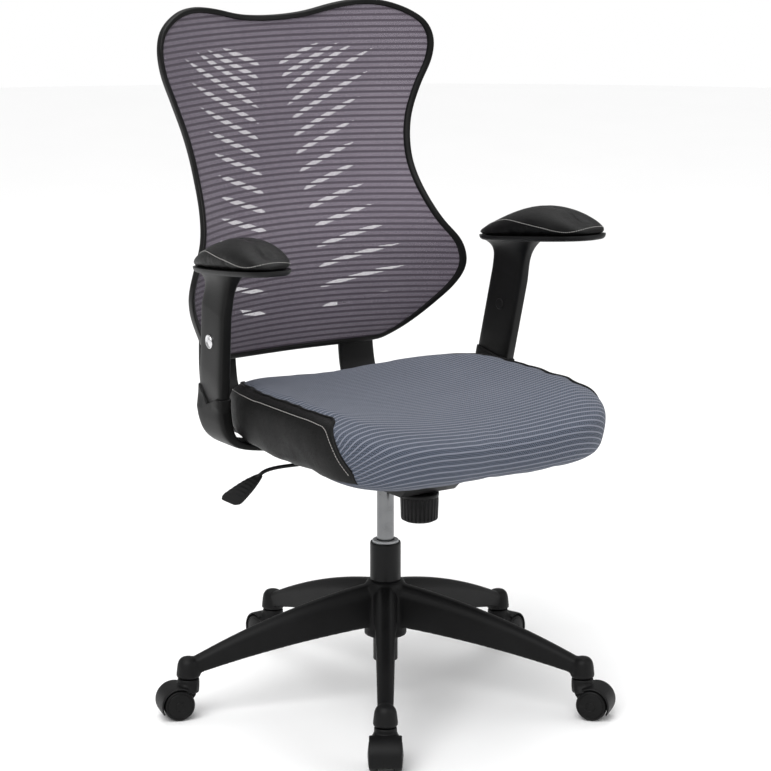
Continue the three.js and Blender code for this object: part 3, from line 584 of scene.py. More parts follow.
# %% A geometry recipe
SOCKETS = {int: "NodeSocketInt", float: "NodeSocketFloat", bpy.types.Material: "NodeSocketMaterial",
           bpy.types.Object: "NodeSocketObject"}


class Recipe(Network):
    def __init__(self, name, **kinds):
        self.tree = bpy.data.node_groups.new(name, "GeometryNodeTree")
        sockets = self.tree.interface
        sockets.new_socket("Guide", in_out="INPUT", socket_type="NodeSocketGeometry")
        self.keys = {key: sockets.new_socket(key, in_out="INPUT", socket_type=SOCKETS[kind]).identifier
                     for key, kind in kinds.items()}
        sockets.new_socket("Result", in_out="OUTPUT", socket_type="NodeSocketGeometry")
        self.start = self.tree.nodes.new("NodeGroupInput")

    def given(self, name):
        return Value(self, self.start.outputs[name])

    def ends_with(self, geometry, finish):
        real = self.node("GeometryNodeRealizeInstances", {}, geometry)
        painted = self.node("GeometryNodeSetMaterial", {}, real, Material=finish)
        self.place(self.tree.nodes.new("NodeGroupOutput"), 0, painted)


def grow(recipe, obj, crease=40, **sizes):
    modifier = modify(obj, "NODES", node_group=recipe.tree)
    for key, value in sizes.items():
        modifier[recipe.keys[key]] = value
    settled(obj)
    obj.data.shade_smooth()
    obj.data.set_sharp_from_angle(angle=math.radians(crease))
    return obj


def guide(name, points, closed=False):
    """A line of points for a recipe to follow."""
    mesh = bpy.data.meshes.new(name)
    edges = [(i, i + 1) for i in range(len(points) - 1)] + ([(len(points) - 1, 0)] if closed else [])
    mesh.from_pydata([at(*p) for p in points], edges, [])
    obj = bpy.data.objects.new(name, mesh)
    bpy.context.collection.objects.link(obj)
    return obj


# %% Stitches along a line
def stitch_recipe():
    recipe = Recipe("stitches", Pitch=float, Length=float, Thickness=float, Thread=bpy.types.Material)
    line = recipe.node("GeometryNodeMeshToCurve", {}, recipe.given("Guide"))
    steps = recipe.node("GeometryNodeResampleCurve", {"mode": "LENGTH"}, Curve=line,
                        Length=recipe.given("Pitch"))
    bead = recipe.node("GeometryNodeMeshUVSphere", {}, Segments=6, Rings=5, Radius=1.0)
    size = recipe.node("ShaderNodeCombineXYZ", {}, recipe.given("Thickness") * 0.5,
                       recipe.given("Thickness") * 0.5,
                       recipe.given("Length") * 0.5)
    stitch = recipe.node("GeometryNodeTransform", {}, bead, Scale=size)
    turn = recipe.node("FunctionNodeAlignRotationToVector", {"axis": "Z"},
                       Vector=recipe.node("GeometryNodeInputTangent", {}))
    rows = recipe.node("GeometryNodeInstanceOnPoints", {}, Points=steps, Instance=stitch, Rotation=turn)
    recipe.ends_with(rows, recipe.given("Thread"))
    return recipe


STITCHES = stitch_recipe()


def sewn(name, points, pitch=0.0042, length=0.0034, thickness=0.0009, closed=False):
    return grow(STITCHES, guide(name, points, closed), Pitch=pitch, Length=length, Thickness=thickness,
                Thread=pale_thread)


# %% Piping and rods along a line
def piping_recipe():
    recipe = Recipe("piping", Radius=float, Sides=int, Finish=bpy.types.Material)
    line = recipe.node("GeometryNodeMeshToCurve", {}, recipe.given("Guide"))
    ring = recipe.node("GeometryNodeCurvePrimitiveCircle", {}, Resolution=recipe.given("Sides"),
                       Radius=recipe.given("Radius"))
    tube = recipe.node("GeometryNodeCurveToMesh", {}, Curve=line, Profile_Curve=ring, Fill_Caps=True)
    recipe.ends_with(tube, recipe.given("Finish"))
    return recipe


PIPING = piping_recipe()


def piped(name, points, radius, finish, sides=10, closed=False):
    return tidy(grow(PIPING, guide(name, points, closed), Radius=radius, Sides=sides, Finish=finish), 60)


# %% Bolts on points
def bolt_recipe():
    recipe = Recipe("bolts", Bolt=bpy.types.Object)
    bolt = recipe.node("GeometryNodeObjectInfo", {"transform_space": "ORIGINAL"}, recipe.given("Bolt"), out=4)
    row = recipe.node("GeometryNodeInstanceOnPoints", {}, Points=recipe.given("Guide"), Instance=bolt)
    recipe.ends_with(row, zinc)
    return recipe


BOLTS = bolt_recipe()


def bolts(name, points, axis, radius=5.5, height=3.2):
    """Button-head bolts with a hexagon recess, standing out along the axis."""
    turn = Vector((0, 0, 1)).rotation_difference(Vector(axis)).to_matrix().to_4x4()
    head = turned([(0, -2), (radius, -2), (radius, height * 0.45), (radius * 0.8, height * 0.86),
                   (radius * 0.5, height), (0, height)], 24, 0.5)
    cup = loft([[Vector((r * math.cos(a), r * math.sin(a), z)) for a in (k * math.pi / 3 for k in range(6))]
                for r, z in ((radius * 0.42, height + 1), (radius * 0.42, height - 1.8))])
    model = made(name + "_model", moved(head, turn), zinc)
    recess = made(name + "_recess", moved(cup, turn), zinc)
    modify(model, "BOOLEAN", object=recess, operation="DIFFERENCE", solver="EXACT")
    settled(model)
    for obj in (model, recess):
        obj.location = -COLUMN
    bpy.data.objects.remove(recess)
    result = grow(BOLTS, guide(name, points), Bolt=model)
    bpy.data.objects.remove(model)
    return result


# %% [markdown]
# The floor is one plain pale disc.

# %% Floor
def pale_floor():
    finish = Finish("pale_floor", (0.97, 0.97, 0.97), 0.6)
    grain = finish.noise(3.0, 3.0)
    finish.shade(Roughness=0.55 + grain * 0.15)
    rings = [[Vector((r * math.cos(a), r * math.sin(a), z)) for a in (k * math.pi / 48 for k in range(96))]
             for r, z in ((9000, -0.6), (9000, -20))]
    return made("floor", loft(rings), finish.material)


pale_floor()

# %% [markdown]
# ## Curves through a few points
# Long mouldings are described by a handful of points, so two helpers fill in the rest:
# `threaded` runs an even curve through points in space, and `smooth` reads a value from a
# table without corners.

# %% Smooth lines and tables
def threaded(points, count, closed=False):
    """An even row of points on a centripetal curve through the given ones."""
    points = [Vector(p) for p in points]
    if closed:
        points = [points[-1]] + points + points[:2]
    else:
        points = [points[0] * 2 - points[1]] + points + [points[-1] * 2 - points[-2]]
    fine = []
    for p0, p1, p2, p3 in zip(points, points[1:], points[2:], points[3:]):
        t1 = max((p1 - p0).length ** 0.5, 1e-6)
        t2 = t1 + max((p2 - p1).length ** 0.5, 1e-6)
        t3 = t2 + max((p3 - p2).length ** 0.5, 1e-6)
        for k in range(24):
            t = lerp(t1, t2, k / 24)
            a1 = p0.lerp(p1, t / t1)
            a2 = p1.lerp(p2, (t - t1) / (t2 - t1))
            a3 = p2.lerp(p3, (t - t2) / (t3 - t2))
            fine.append(a1.lerp(a2, t / t2).lerp(a2.lerp(a3, (t - t1) / (t3 - t1)), (t - t1) / (t2 - t1)))
    fine.append(points[-2])
    reach = [0.0]
    for a, b in zip(fine, fine[1:]):
        reach.append(reach[-1] + (b - a).length)
    steps = count if closed else count - 1
    result, i = [], 0
    for k in range(count):
        target = reach[-1] * k / steps
        while i < len(reach) - 2 and reach[i + 1] < target:
            i += 1
        result.append(fine[i].lerp(fine[i + 1], (target - reach[i]) / max(reach[i + 1] - reach[i], 1e-9)))
    return result


def smooth(table, x):
    if x <= table[0][0]:
        return table[0][1]
    for i in range(len(table) - 1):
        (x0, y0), (x1, y1) = table[i], table[i + 1]
        if x <= x1:
            before, after = table[max(i - 1, 0)], table[min(i + 2, len(table) - 1)]
            m0 = (y1 - before[1]) / (x1 - before[0]) * (x1 - x0)
            m1 = (after[1] - y0) / (after[0] - x0) * (x1 - x0)
            t = (x - x0) / (x1 - x0)
            return (y0 * (2 * t ** 3 - 3 * t * t + 1) + m0 * (t ** 3 - 2 * t * t + t)
                    + y1 * (3 * t * t - 2 * t ** 3) + m1 * (t ** 3 - t * t))
    return table[-1][1]


# %% [markdown]
# ## The five-leg base
# The base is one moulding: a hub, five bowed legs that taper outwards and a round socket
# for a caster at each tip. The solids only have to overlap, and `fused` melts them into
# one skin with the fillets of a mould.

# %% Base
FIRST_LEG = -33.3 - 90
SOCKET_R = 331
LEG_ANGLES = [math.radians(FIRST_LEG + 72 * leg) for leg in range(5)]


def spun(angle, distance=0):
    return Matrix.Rotation(angle, 4, "Z") @ Matrix.Translation((distance, 0, 0))


def leg_beam():
    rings = []
    for k in range(28):
        x = lerp(8, 322, k / 27)
        t = max(0, (x - 30) / (SOCKET_R - 30))
        bow = 4 * t * (1 - t)
        top = lerp(191, 92, t) + 11 * bow
        low = lerp(121, 67.5, t) + 6 * bow
        half = lerp(18.5, 12.5, t)
        shoulder = top - 0.25 * (top - low)
        section = [(0.0, top + 0.8), (0.45, top), (0.8, lerp(top, shoulder, 0.45)), (1, shoulder),
                   (0.86, low + 3),
                   (0.7, low)]
        ring = [Vector((x, half * side, z)) for side, z in section]
        rings.append(ring + [Vector((x, -half * side, z)) for side, z in section[:0:-1]])
    return loft(rings)


def base_star():
    hub = turned([(0, 105), (34.5, 105), (34.5, 113), (33, 116), (33, 189), (29.5, 196), (26.5, 197),
                  (0, 197)], 72)
    socket = turned([(0, 99), (7, 98.4), (12.5, 96), (16, 91), (17.5, 85), (19.5, 67), (18.5, 65),
                     (0, 65)], 48)
    legs = [moved(leg_beam(), spun(angle)) for angle in LEG_ANGLES]
    sockets = [moved(socket, spun(angle, SOCKET_R)) for angle in LEG_ANGLES]
    return fused("base_moulding", joined(hub, *legs, *sockets), nylon, 0.0023, 5)


placed(base_star(), "base", "base_star")

# %% [markdown]
# ## Casters
# Each caster has a hood with a fender over two wheels, a web between them and a neck that
# turns on a steel stem. The hood is fused once and copied to the five legs. The wheels are
# turned: a rounded tread, a groove inside the tyre and a shallow domed face.

# %% Caster hood and wheel
TRAIL = 20
WHEEL_R = 25


def fender():
    """The curved cover, as sections along its arc from the front down to the rear."""
    rings = []
    for k in range(25):
        a = lerp(math.radians(119), math.radians(-27), k / 24)
        out = Vector((math.cos(a), 0, math.sin(a)))
        centre = Vector((TRAIL, 0, WHEEL_R)) + out * 28
        rings.append(super_ring(24, 5, lambda u, v: centre + out * 1.8 * u + Vector((0, 25.4 * v, 0))))
    return loft(rings)


def web():
    outline = [(32, 8), (8, 8), (-11, 34), (-14, 46), (4, 52), (24, 53), (42, 44), (46, 28)]
    return loft([[Vector((x, y, z)) for x, z in outline] for y in (-4, 4)])


def caster_hood():
    neck = turned([(0, 40), (16.5, 40), (17.5, 50), (17.5, 62), (16.5, 63.3), (0, 63.3)], 48)
    shoulder = loft([super_ring(24, 3, lambda u, v: Vector((x + u * rx, v * ry, z)))
                     for x, rx, ry, z in ((4, 16, 23.5, 44), (2, 15.5, 19, 52), (0, 15, 16, 58))])
    hood = fused("caster_hood", joined(fender(), web(), neck, shoulder), nylon, 0.0011, 4)
    hood.name = "caster_hood_1_skin"
    return hood


def caster_wheel(side):
    profile = [(0, 24), (3.6, 24), (3.6, 11.5), (22.5, 11.5), (25, 14), (25, 21.5), (23.4, 24.4),
               (21.2, 25.2),
               (20.8, 24.6), (19.9, 24.6), (19.5, 25.6), (8, 26.9), (7.6, 26.4), (6.9, 26.4), (6.5, 27),
               (0, 27.3)]
    turn = Matrix.Rotation(-math.pi / 2 * side, 4, "X")
    return moved(turned(profile, 64, 0.7), Matrix.Translation((TRAIL, 0, WHEEL_R)) @ turn)


def copied(obj, name, matrix):
    """A copy whose mesh is moved about the column by a matrix in millimetres."""
    copy = bpy.data.objects.new(name, obj.data.copy())
    bpy.context.collection.objects.link(copy)
    scaled = Matrix.Scale(0.001, 4)
    copy.data.transform(Matrix.Translation(COLUMN) @ scaled @ matrix @ scaled.inverted()
                        @ Matrix.Translation(-COLUMN))
    return copy


hood_model = caster_hood()
stem = turned([(0, 46.5), (5.5, 46.5), (5.5, 60), (7.4, 61), (7.4, 64.4), (5.5, 65), (5.5, 88), (4, 90),
               (0, 90)], 32)
for leg, angle in enumerate(LEG_ANGLES):
    number = leg + 1
    leg_end = spun(angle, SOCKET_R)
    placed(copied(hood_model, f"hood_{number}", leg_end), f"caster_{number}", f"caster_hood_{number}")
    placed(made(f"stem_{number}", moved(stem, leg_end), zinc), f"caster_{number}", f"caster_stem_{number}")
    for letter, side in (("a", 1), ("b", -1)):
        placed(made(f"wheel_{number}{letter}_turned", moved(caster_wheel(side), leg_end), satin),
               f"wheel_{number}{letter}", f"caster_wheel_{number}{letter}")
bpy.data.objects.remove(hood_model)

# %% [markdown]
# ## Gas lift
# The lift is turned steel: a black outer tube pressed into the hub, a pale nylon bush at
# its mouth and the bright inner tube that slides through it and carries the seat.

# %% Gas lift
outer_tube = turned([(0, 62), (19.9, 62), (20.1, 105), (24.2, 197), (25, 199), (25, 258), (24.2, 261),
                     (22, 261),
                     (22, 240), (0, 240)], 96, 1.0)
placed(made("outer_tube", outer_tube, powder_coat), "base", "gas_outer_tube")
bush = turned([(0, 241), (14.3, 241), (14.3, 263.4), (15, 264.4), (20.8, 264.4), (21.6, 262.4),
               (21.6, 241.5), (0, 241.5)], 96, 0.6)
placed(made("mouth_bush", bush, bush_nylon), "base", "guide_bush")
inner_tube = turned([(0, 155), (14, 155), (14, 366), (13, 396), (0, 396)], 96)
placed(made("inner_tube", inner_tube, chrome), "carriage", "pressure_tube")

# %% [markdown]
# ## Tilt mechanism
# The mechanism is a pressed and welded steel box. Its faces are flat, so a copy of the
# measured solid with eased edges is the right shape. Real bolts hold the plate and the
# brackets, and a recipe sets them out.

# %% Mechanism
placed(bevelled_node("mechanism_housing", powder_coat, 0.0016), "carriage", "mechanism_housing")
placed(bevelled_node("seat_plate", powder_coat, 0.0009), "seat", "seat_plate")
placed(bevelled_node("seat_pan", nylon, 0.0012), "seat", "seat_pan")
plate_bolts = [(x, y, 435.4) for x in (-84, 84) for y in (-104, -40, 40, 104)]
placed(bolts("seat_plate_bolts", plate_bolts, (0, 0, -1), 5.2, 3.2), "seat")
shaft = moved(turned([(0, -61), (5, -61), (5, -57), (4.2, -56), (4.2, -54.8), (5, -54), (5, 54), (4.2, 54.8),
                      (4.2, 56), (5, 57), (5, 61), (0, 61)], 32, 0.4),
              Matrix.Translation((0, -60, 412)) @ Matrix.Rotation(math.pi / 2, 4, "Y"))
placed(made("pivot_shaft", shaft, zinc), "carriage", "tilt_shaft")

# %% [markdown]
# The tension knob is gripped from below, so its side is ribbed. One rib is lofted, and the
# recipe turns a copy of it to face outwards at each point of a circle.

# %% Tension knob
SOCKETS[Vector] = "NodeSocketVector"


def rib_recipe():
    recipe = Recipe("ribs_round_a_grip", Rib=bpy.types.Object, Middle=Vector, Plastic=bpy.types.Material)
    rib = recipe.node("GeometryNodeObjectInfo", {"transform_space": "ORIGINAL"}, recipe.given("Rib"), out=4)
    outwards = recipe.node("ShaderNodeVectorMath", {"operation": "SUBTRACT"},
                           recipe.node("GeometryNodeInputPosition", {}), recipe.given("Middle"))
    turn = recipe.node("FunctionNodeAlignRotationToVector", {"axis": "X", "pivot_axis": "Z"}, Vector=outwards)
    row = recipe.node("GeometryNodeInstanceOnPoints", {}, Points=recipe.given("Guide"), Instance=rib,
                      Rotation=turn)
    recipe.ends_with(row, recipe.given("Plastic"))
    return recipe


def knob_ribs(count, y, low, high):
    rings = [super_ring(10, 2.4, lambda u, v: Vector((27.2 + lean + 3.6 * size * u, 2.5 * size * v, z)))
             for z, lean, size in ((low + 1, -1.6, 0.5), (low + 2, -1.2, 0.9), (low + 5, -0.9, 1),
                                   (high - 8, 0, 1),
                                   (high - 4, 0, 0.9), (high - 3, -0.6, 0.5))]
    model = made("knob_rib", loft(rings), knob_plastic)
    model.data.transform(Matrix.Translation(-COLUMN))
    middle = at(0, y, 0)
    circle = [(2 * math.cos(a), y + 2 * math.sin(a), 0)
              for a in (2 * math.pi * k / count for k in range(count))]
    for vertex in model.data.vertices:
        vertex.co.x -= 0.002
    ribs = grow(rib_recipe(), guide("knob_grip", circle), Rib=model, Middle=middle, Plastic=knob_plastic)
    bpy.data.objects.remove(model)
    return ribs


core = turned([(0, 319), (24, 319), (26.6, 321.5), (28.4, 330), (29.4, 358), (30.9, 359.5), (31.3, 364),
               (29.5, 366),
               (0, 366)], 96, 1.4)
placed(made("knob_core", moved(core, Matrix.Translation((0, -98, 0))), knob_plastic), "tension",
       "tension_knob")
placed(knob_ribs(28, -98, 320, 362), "tension")

# %% [markdown]
# The lever is a bent rod with a moulded fan-shaped paddle. Shallow ridges across the paddle
# give the fingers grip.

# %% Lever
rod_line = threaded([(8, -30, 419), (-80, -30, 419), (-160, -30, 420), (-232, -30, 420.5), (-249, -30, 416),
                     (-262, -30, 405)], 64)
placed(piped("bent_rod", rod_line, 0.003, powder_coat, 16), "lever", "lever_rod")


def paddle():
    table = {1: [(254, 9), (262, 14), (276, 21), (293, 27), (303, 28.5), (308, 22)],
             2: [(254, 7), (262, 12), (276, 13), (293, 10), (303, 6.5), (308, 2.5)],
             3: [(254, -8), (262, -13), (276, -21), (293, -31), (303, -37), (308, -40)]}
    rings = []
    for k in range(46):
        x = lerp(254, 308.5, k / 45)
        wide, thick, drop = (smooth(table[n], x) for n in (1, 2, 3))
        ridge = 0.8 * max(0, math.sin((x - 268) / 36 * math.pi * 12)) if 268 < x < 302 else 0
        rings.append(super_ring(40, 3.0, lambda u, v: Vector(
            (-x + 0.35 * v * thick, -30 + u * wide,
             419 + drop + v * (0.5 * thick + (ridge if v > 0 else 0))))))
    return loft(rings)


placed(made("finger_paddle", paddle(), knob_plastic, 50), "lever", "lever_paddle")

# %% [markdown]
# ## The back
# One outline shapes everything in the back: a butterfly seen from the front, laid on a
# surface that is deepest at the waist and bends round the sitter. The rim follows the
# outline, and the shell and the mesh are patches stretched across it.

# %% Outline and surface of the back
CENTRE_DEPTH = [(529, 274), (560, 268), (600, 264), (660, 262), (720, 268), (780, 287), (840, 304),
                (900, 317), (960, 327), (1020, 335), (1083, 341), (1106, 343)]
BEND = [(529, 0.35), (560, 0.92), (600, 1.27), (660, 1.52), (760, 1.9), (850, 1.58), (940, 1.33),
        (1040, 1.27), (1106, 1.2)]
SIDE_EDGE = [(163, 531), (181, 543), (205, 567), (232, 600), (254, 632), (265, 666), (255, 708), (231, 745),
             (214, 795), (209, 848), (217, 905), (238, 962), (257, 1005), (262, 1042), (252, 1070),
             (228, 1089)]
TOP_EDGE = [(228, 1089), (197, 1101), (160, 1105), (118, 1100), (60, 1087), (0, 1083)]
BOTTOM_EDGE = [(0, 529), (130, 529), (163, 531)]
RIM_WIDTH = 9.5


def on_back(x, z, behind=0):
    return Vector((x, smooth(CENTRE_DEPTH, z) - smooth(BEND, z) * x * x * 0.001 + behind, z))


def both_halves(half):
    return [(-x, z) for x, z in reversed(half)][:-1] + half


def outline(rows, columns):
    """Points round the back: bottom, the sitter's left, top, the sitter's right."""
    flip = [(-x, z) for x, z in reversed(SIDE_EDGE)]
    top = TOP_EDGE + [(-x, z) for x, z in reversed(TOP_EDGE)][1:]
    ring = []
    for points, count in ((both_halves(BOTTOM_EDGE), columns), (SIDE_EDGE, rows), (top, columns),
                          (flip, rows)):
        ring += threaded([(x, 0, z) for x, z in points], count + 1)[:-1]
    for _ in range(3):
        ring = [(a + b * 2 + c) / 4 for a, b, c in zip(ring[-1:] + ring[:-1], ring, ring[1:] + ring[:1])]
    return ring


def inset(ring, width):
    result = []
    for a, b, c in zip(ring[-1:] + ring[:-1], ring, ring[1:] + ring[:1]):
        along = (c - a).normalized()
        result.append(b + Vector((-along.z, 0, along.x)) * width)
    return result


def patch(rows, columns, width):
    """A grid of (x, z, inside) across the inset outline, rows from the bottom up."""
    ring = inset(outline(rows, columns), width)
    size = len(ring)
    right, top, left = columns, columns + rows, 2 * columns + rows
    grid = []
    for j in range(rows + 1):
        v = j / rows
        west, east = ring[(left + rows - j) % size], ring[right + j]
        line = []
        for i in range(columns + 1):
            u = i / columns
            south, north = ring[i], ring[left - i]
            point = (south * (1 - v) + north * v + west * (1 - u) + east * u
                     - ring[0] * (1 - u) * (1 - v) - ring[columns] * u * (1 - v)
                     - ring[left] * (1 - u) * v - ring[top] * u * v)
            line.append((point.x, point.z, min(1, 5 * min(u, 1 - u), 6 * min(v, 1 - v))))
        grid.append(line)
    return grid


def grid_faces(rows, columns, start=0):
    width = columns + 1
    return [(start + j * width + i, start + j * width + i + 1, start + (j + 1) * width + i + 1,
             start + (j + 1) * width + i) for j in range(rows) for i in range(columns)]


# %% Rim
def rim():
    ring = outline(96, 60)
    across = 22
    loops = []
    for k in range(across):
        a = 2 * math.pi * k / across
        loops.append(inset(ring, RIM_WIDTH / 2 + RIM_WIDTH / 2 * signed_power(math.cos(a), 0.6)))
    rings = []
    for i in range(len(ring)):
        rings.append([on_back(loops[k][i].x, loops[k][i].z,
                              5 + 8 * signed_power(math.sin(2 * math.pi * k / across), 0.6))
                      for k in range(across)])
    return made("rim_moulding", loft(rings, loop=True), satin, 60)


placed(rim(), "seat", "back_rim")

# %% [markdown]
# The shell behind the mesh is a thin moulding with slots like the veins of a leaf. A
# recipe fills the slots' outlines, makes them deep and cuts them from the shell.

# %% Slotted shell
def cutting_recipe():
    recipe = Recipe("slots_through_a_shell", Slots=bpy.types.Object, Depth=float, Plastic=bpy.types.Material)
    loops = recipe.node("GeometryNodeObjectInfo", {"transform_space": "ORIGINAL"},
                        recipe.given("Slots"), out=4)
    flat = recipe.node("GeometryNodeFillCurve", {}, recipe.node("GeometryNodeMeshToCurve", {}, loops))
    reach = recipe.node("ShaderNodeCombineXYZ", {}, 0.0, 0.0, recipe.given("Depth"))
    deep = recipe.node("GeometryNodeExtrudeMesh", {}, flat, Offset=reach, Offset_Scale=1.0, Individual=False)
    lid = recipe.node("GeometryNodeFlipFaces", {}, flat)
    both = recipe.tree.nodes.new("GeometryNodeJoinGeometry")
    for part in (lid, deep):
        recipe.tree.links.new(part.socket, both.inputs[0])
    closed = recipe.node("GeometryNodeMergeByDistance", {}, Value(recipe, both.outputs[0]))
    behind = recipe.node("ShaderNodeCombineXYZ", {}, 0.0, recipe.given("Depth") * 0.5, 0.0)
    upright = recipe.node("GeometryNodeTransform", {}, closed, Translation=behind,
                          Rotation=(math.pi / 2, 0, 0))
    cut = recipe.node("GeometryNodeMeshBoolean", {"operation": "DIFFERENCE"}, recipe.given("Guide"), upright)
    recipe.ends_with(cut, recipe.given("Plastic"))
    return recipe


def half_width_at(z):
    for (x0, z0), (x1, z1) in zip(SIDE_EDGE, SIDE_EDGE[1:]):
        if z1 > z:
            return lerp(x0, x1, (z - z0) / (z1 - z0))
    return SIDE_EDGE[-1][0]


def slot_outline(row, side):
    """A leaf that rises outwards from the spine."""
    x0 = 17 + 2.5 * row
    z0 = 1000 - 22 * row - 0.5 * row * row
    slope = min(0.7 - 0.036 * row, 0.43 + 0.08 * row)
    x1 = x0
    while x1 < half_width_at(z0 + slope * (x1 - x0)) - 74 and z0 + slope * (x1 - x0) < 1033:
        x1 += 2
    start, end = Vector((x0, z0)), Vector((x1, z0 + slope * (x1 - x0)))
    across = Vector((start.y - end.y, end.x - start.x)).normalized()
    edge = [(t / 12, 4.3 * min(1, (t / 1.6) ** 0.6, ((12 - t) / 3.2) ** 0.8)) for t in range(13)]
    leaf = [start.lerp(end, t) + across * w for t, w in edge] + [start.lerp(end, t) - across * w for t,
                                                                 w in edge[-2:0:-1]]
    return [(side * p.x, p.y) for p in leaf]


def slot_guides():
    """The outlines lie in the XY plane, because Fill Curve works there."""
    points, edges = [], []
    for row in range(15):
        for side in (1, -1):
            leaf = slot_outline(row, side)
            start = len(points)
            points += [Vector((COLUMN.x + x / 1000, z / 1000, 0)) for x, z in leaf]
            edges += [(start + i, start + (i + 1) % len(leaf)) for i in range(len(leaf))]
    mesh = bpy.data.meshes.new("slot_guides")
    mesh.from_pydata(points, edges, [])
    obj = bpy.data.objects.new("slot_guides", mesh)
    bpy.context.collection.objects.link(obj)
    return obj


def slotted_shell():
    rows, columns = 72, 48
    grid = patch(rows, columns, RIM_WIDTH - 1.5)
    points = []
    for extra in (0, 4.5):
        points += [on_back(x, z, lerp(5, 19, inside ** 0.5) + extra) for line in grid for x, z,
                   inside in line]
    layer = (rows + 1) * (columns + 1)
    edge = [i for i in range(columns)] + [j * (columns + 1) + columns for j in range(rows)]
    edge += [rows * (columns + 1) + i for i in range(columns, 0,
                                                     -1)] + [j * (columns + 1) for j in range(rows, 0, -1)]
    rim_faces = [(a, b, b + layer, a + layer) for a, b in zip(edge, edge[1:] + edge[:1])]
    shell = made("slotted_shell", (points, grid_faces(rows, columns) + grid_faces(rows, columns,
                                                                                  layer) + rim_faces), nylon)
    slots = slot_guides()
    shell = grow(cutting_recipe(), shell, 40, Slots=slots, Depth=1.2, Plastic=nylon)
    bpy.data.objects.remove(slots)
    return shell


placed(slotted_shell(), "seat", "back_shell")

# %% [markdown]
# The mesh is one stretched sheet. Its UV map is in metres, so the courses keep their size
# wherever the back bends.

# %% Stretched mesh
def uv_map(obj, name, place):
    """Fills a UV map from a function of the vertex's index."""
    spots = [place(i) for i in range(len(obj.data.vertices))]
    layer = obj.data.uv_layers.new(name=name)
    layer.data.foreach_set("uv", [c for loop in obj.data.loops for c in spots[loop.vertex_index]])


def surface_area(obj):
    return sum(face.area for face in obj.data.polygons)


def stretched_mesh():
    rows, columns = 110, 72
    grid = patch(rows, columns, RIM_WIDTH - 2.5)
    spots = []
    for line in grid:
        points = [on_back(x, z, 1.2) for x, z, _ in line]
        reach = [0.0]
        for a, b in zip(points, points[1:]):
            reach.append(reach[-1] + (b - a).length)
        spots += [(p, ((r - reach[columns // 2]) / 1000, p.z / 1000)) for p, r in zip(points, reach)]
    mesh = bpy.data.meshes.new("stretched_mesh")
    mesh.from_pydata([at(*p) for p, _ in spots], [], grid_faces(rows, columns))
    mesh.materials.append(netting)
    obj = bpy.data.objects.new("stretched_mesh", mesh)
    bpy.context.collection.objects.link(obj)
    uv_map(obj, "cloth", lambda i: spots[i][1])
    obj.data.shade_smooth()
    return obj


mesh_sheet = placed(stretched_mesh(), "seat", "back_mesh")
print("mesh area", round(surface_area(mesh_sheet), 4), "faces forward:",
      sum(face.normal.y for face in mesh_sheet.data.polygons) < 0)

# %% [markdown]
# Two flat steel bars run from under the seat, bend up behind it and are bolted to the
# shell. A bar keeps its thickness round the bend, so its section is swept along its path.

# %% Back brackets
BAR_OUTER = (176, 168)


def bracket(side):
    path = threaded([(0, 122, 431), (0, 165, 431), (0, 205, 432.5), (0, 240, 438), (0, 272, 452),
                     (0, 292, 476),
                     (0, 300, 510), (0, 302, 560), (0, 303, 612)], 64)
    rings = []
    for k, p in enumerate(path):
        along = (path[min(k + 1, 63)] - path[max(k - 1, 0)]).normalized()
        up = Vector((0, -along.z, along.y))
        inner, outer = 102, lerp(*BAR_OUTER, k / 63)
        rings.append(super_ring(28, 9, lambda u, v: Vector(
            (side * lerp(inner, outer, (u + 1) / 2), p.y, p.z)) + up * 3.5 * v))
    return loft(rings)


for side, word in ((1, "left"), (-1, "right")):
    placed(made(f"bent_bar_{word}", bracket(side), powder_coat, 40), "seat", f"back_bracket_{word}")
bar_spots = [(side * x, z) for side in (1, -1) for x in (120, 152) for z in (560, 598)]
bar_bolts = [(x, 306.2, z) for x, z in bar_spots]
placed(bolts("back_bolts", bar_bolts, (0, 1, 0), 6.2, 3.4), "seat")


def boss(x, z):
    """A moulded stand-off that reaches from the shell's rear back to the bar."""
    start = on_back(x, z).y + 21
    length = 299.5 - start
    shape = turned([(0, 0), (15, 0), (12, 5), (11, length), (0, length)], 40)
    return moved(shape, Matrix.Translation((x, start, z)) @ Matrix.Rotation(-math.pi / 2, 4, "X"))


placed(made("shell_bosses", joined(*[boss(x, z) for x, z in bar_spots]), nylon), "seat", slot="black_nylon")
under_bolts = [(side * x, y, 427.6) for side in (1, -1) for x in (118, 158) for y in (134, 172)]
placed(bolts("bar_foot_bolts", under_bolts, (0, 0, -1), 6.2, 3.4), "seat")

# %% [markdown]
# ## Soft parts
# A cushion is foam under cloth. It starts as a plain closed form, is remeshed to even
# cells, and a short cloth simulation with pressure inside rounds it as stuffing does. No
# point may move further than a cap, so that it stays the size that was measured.

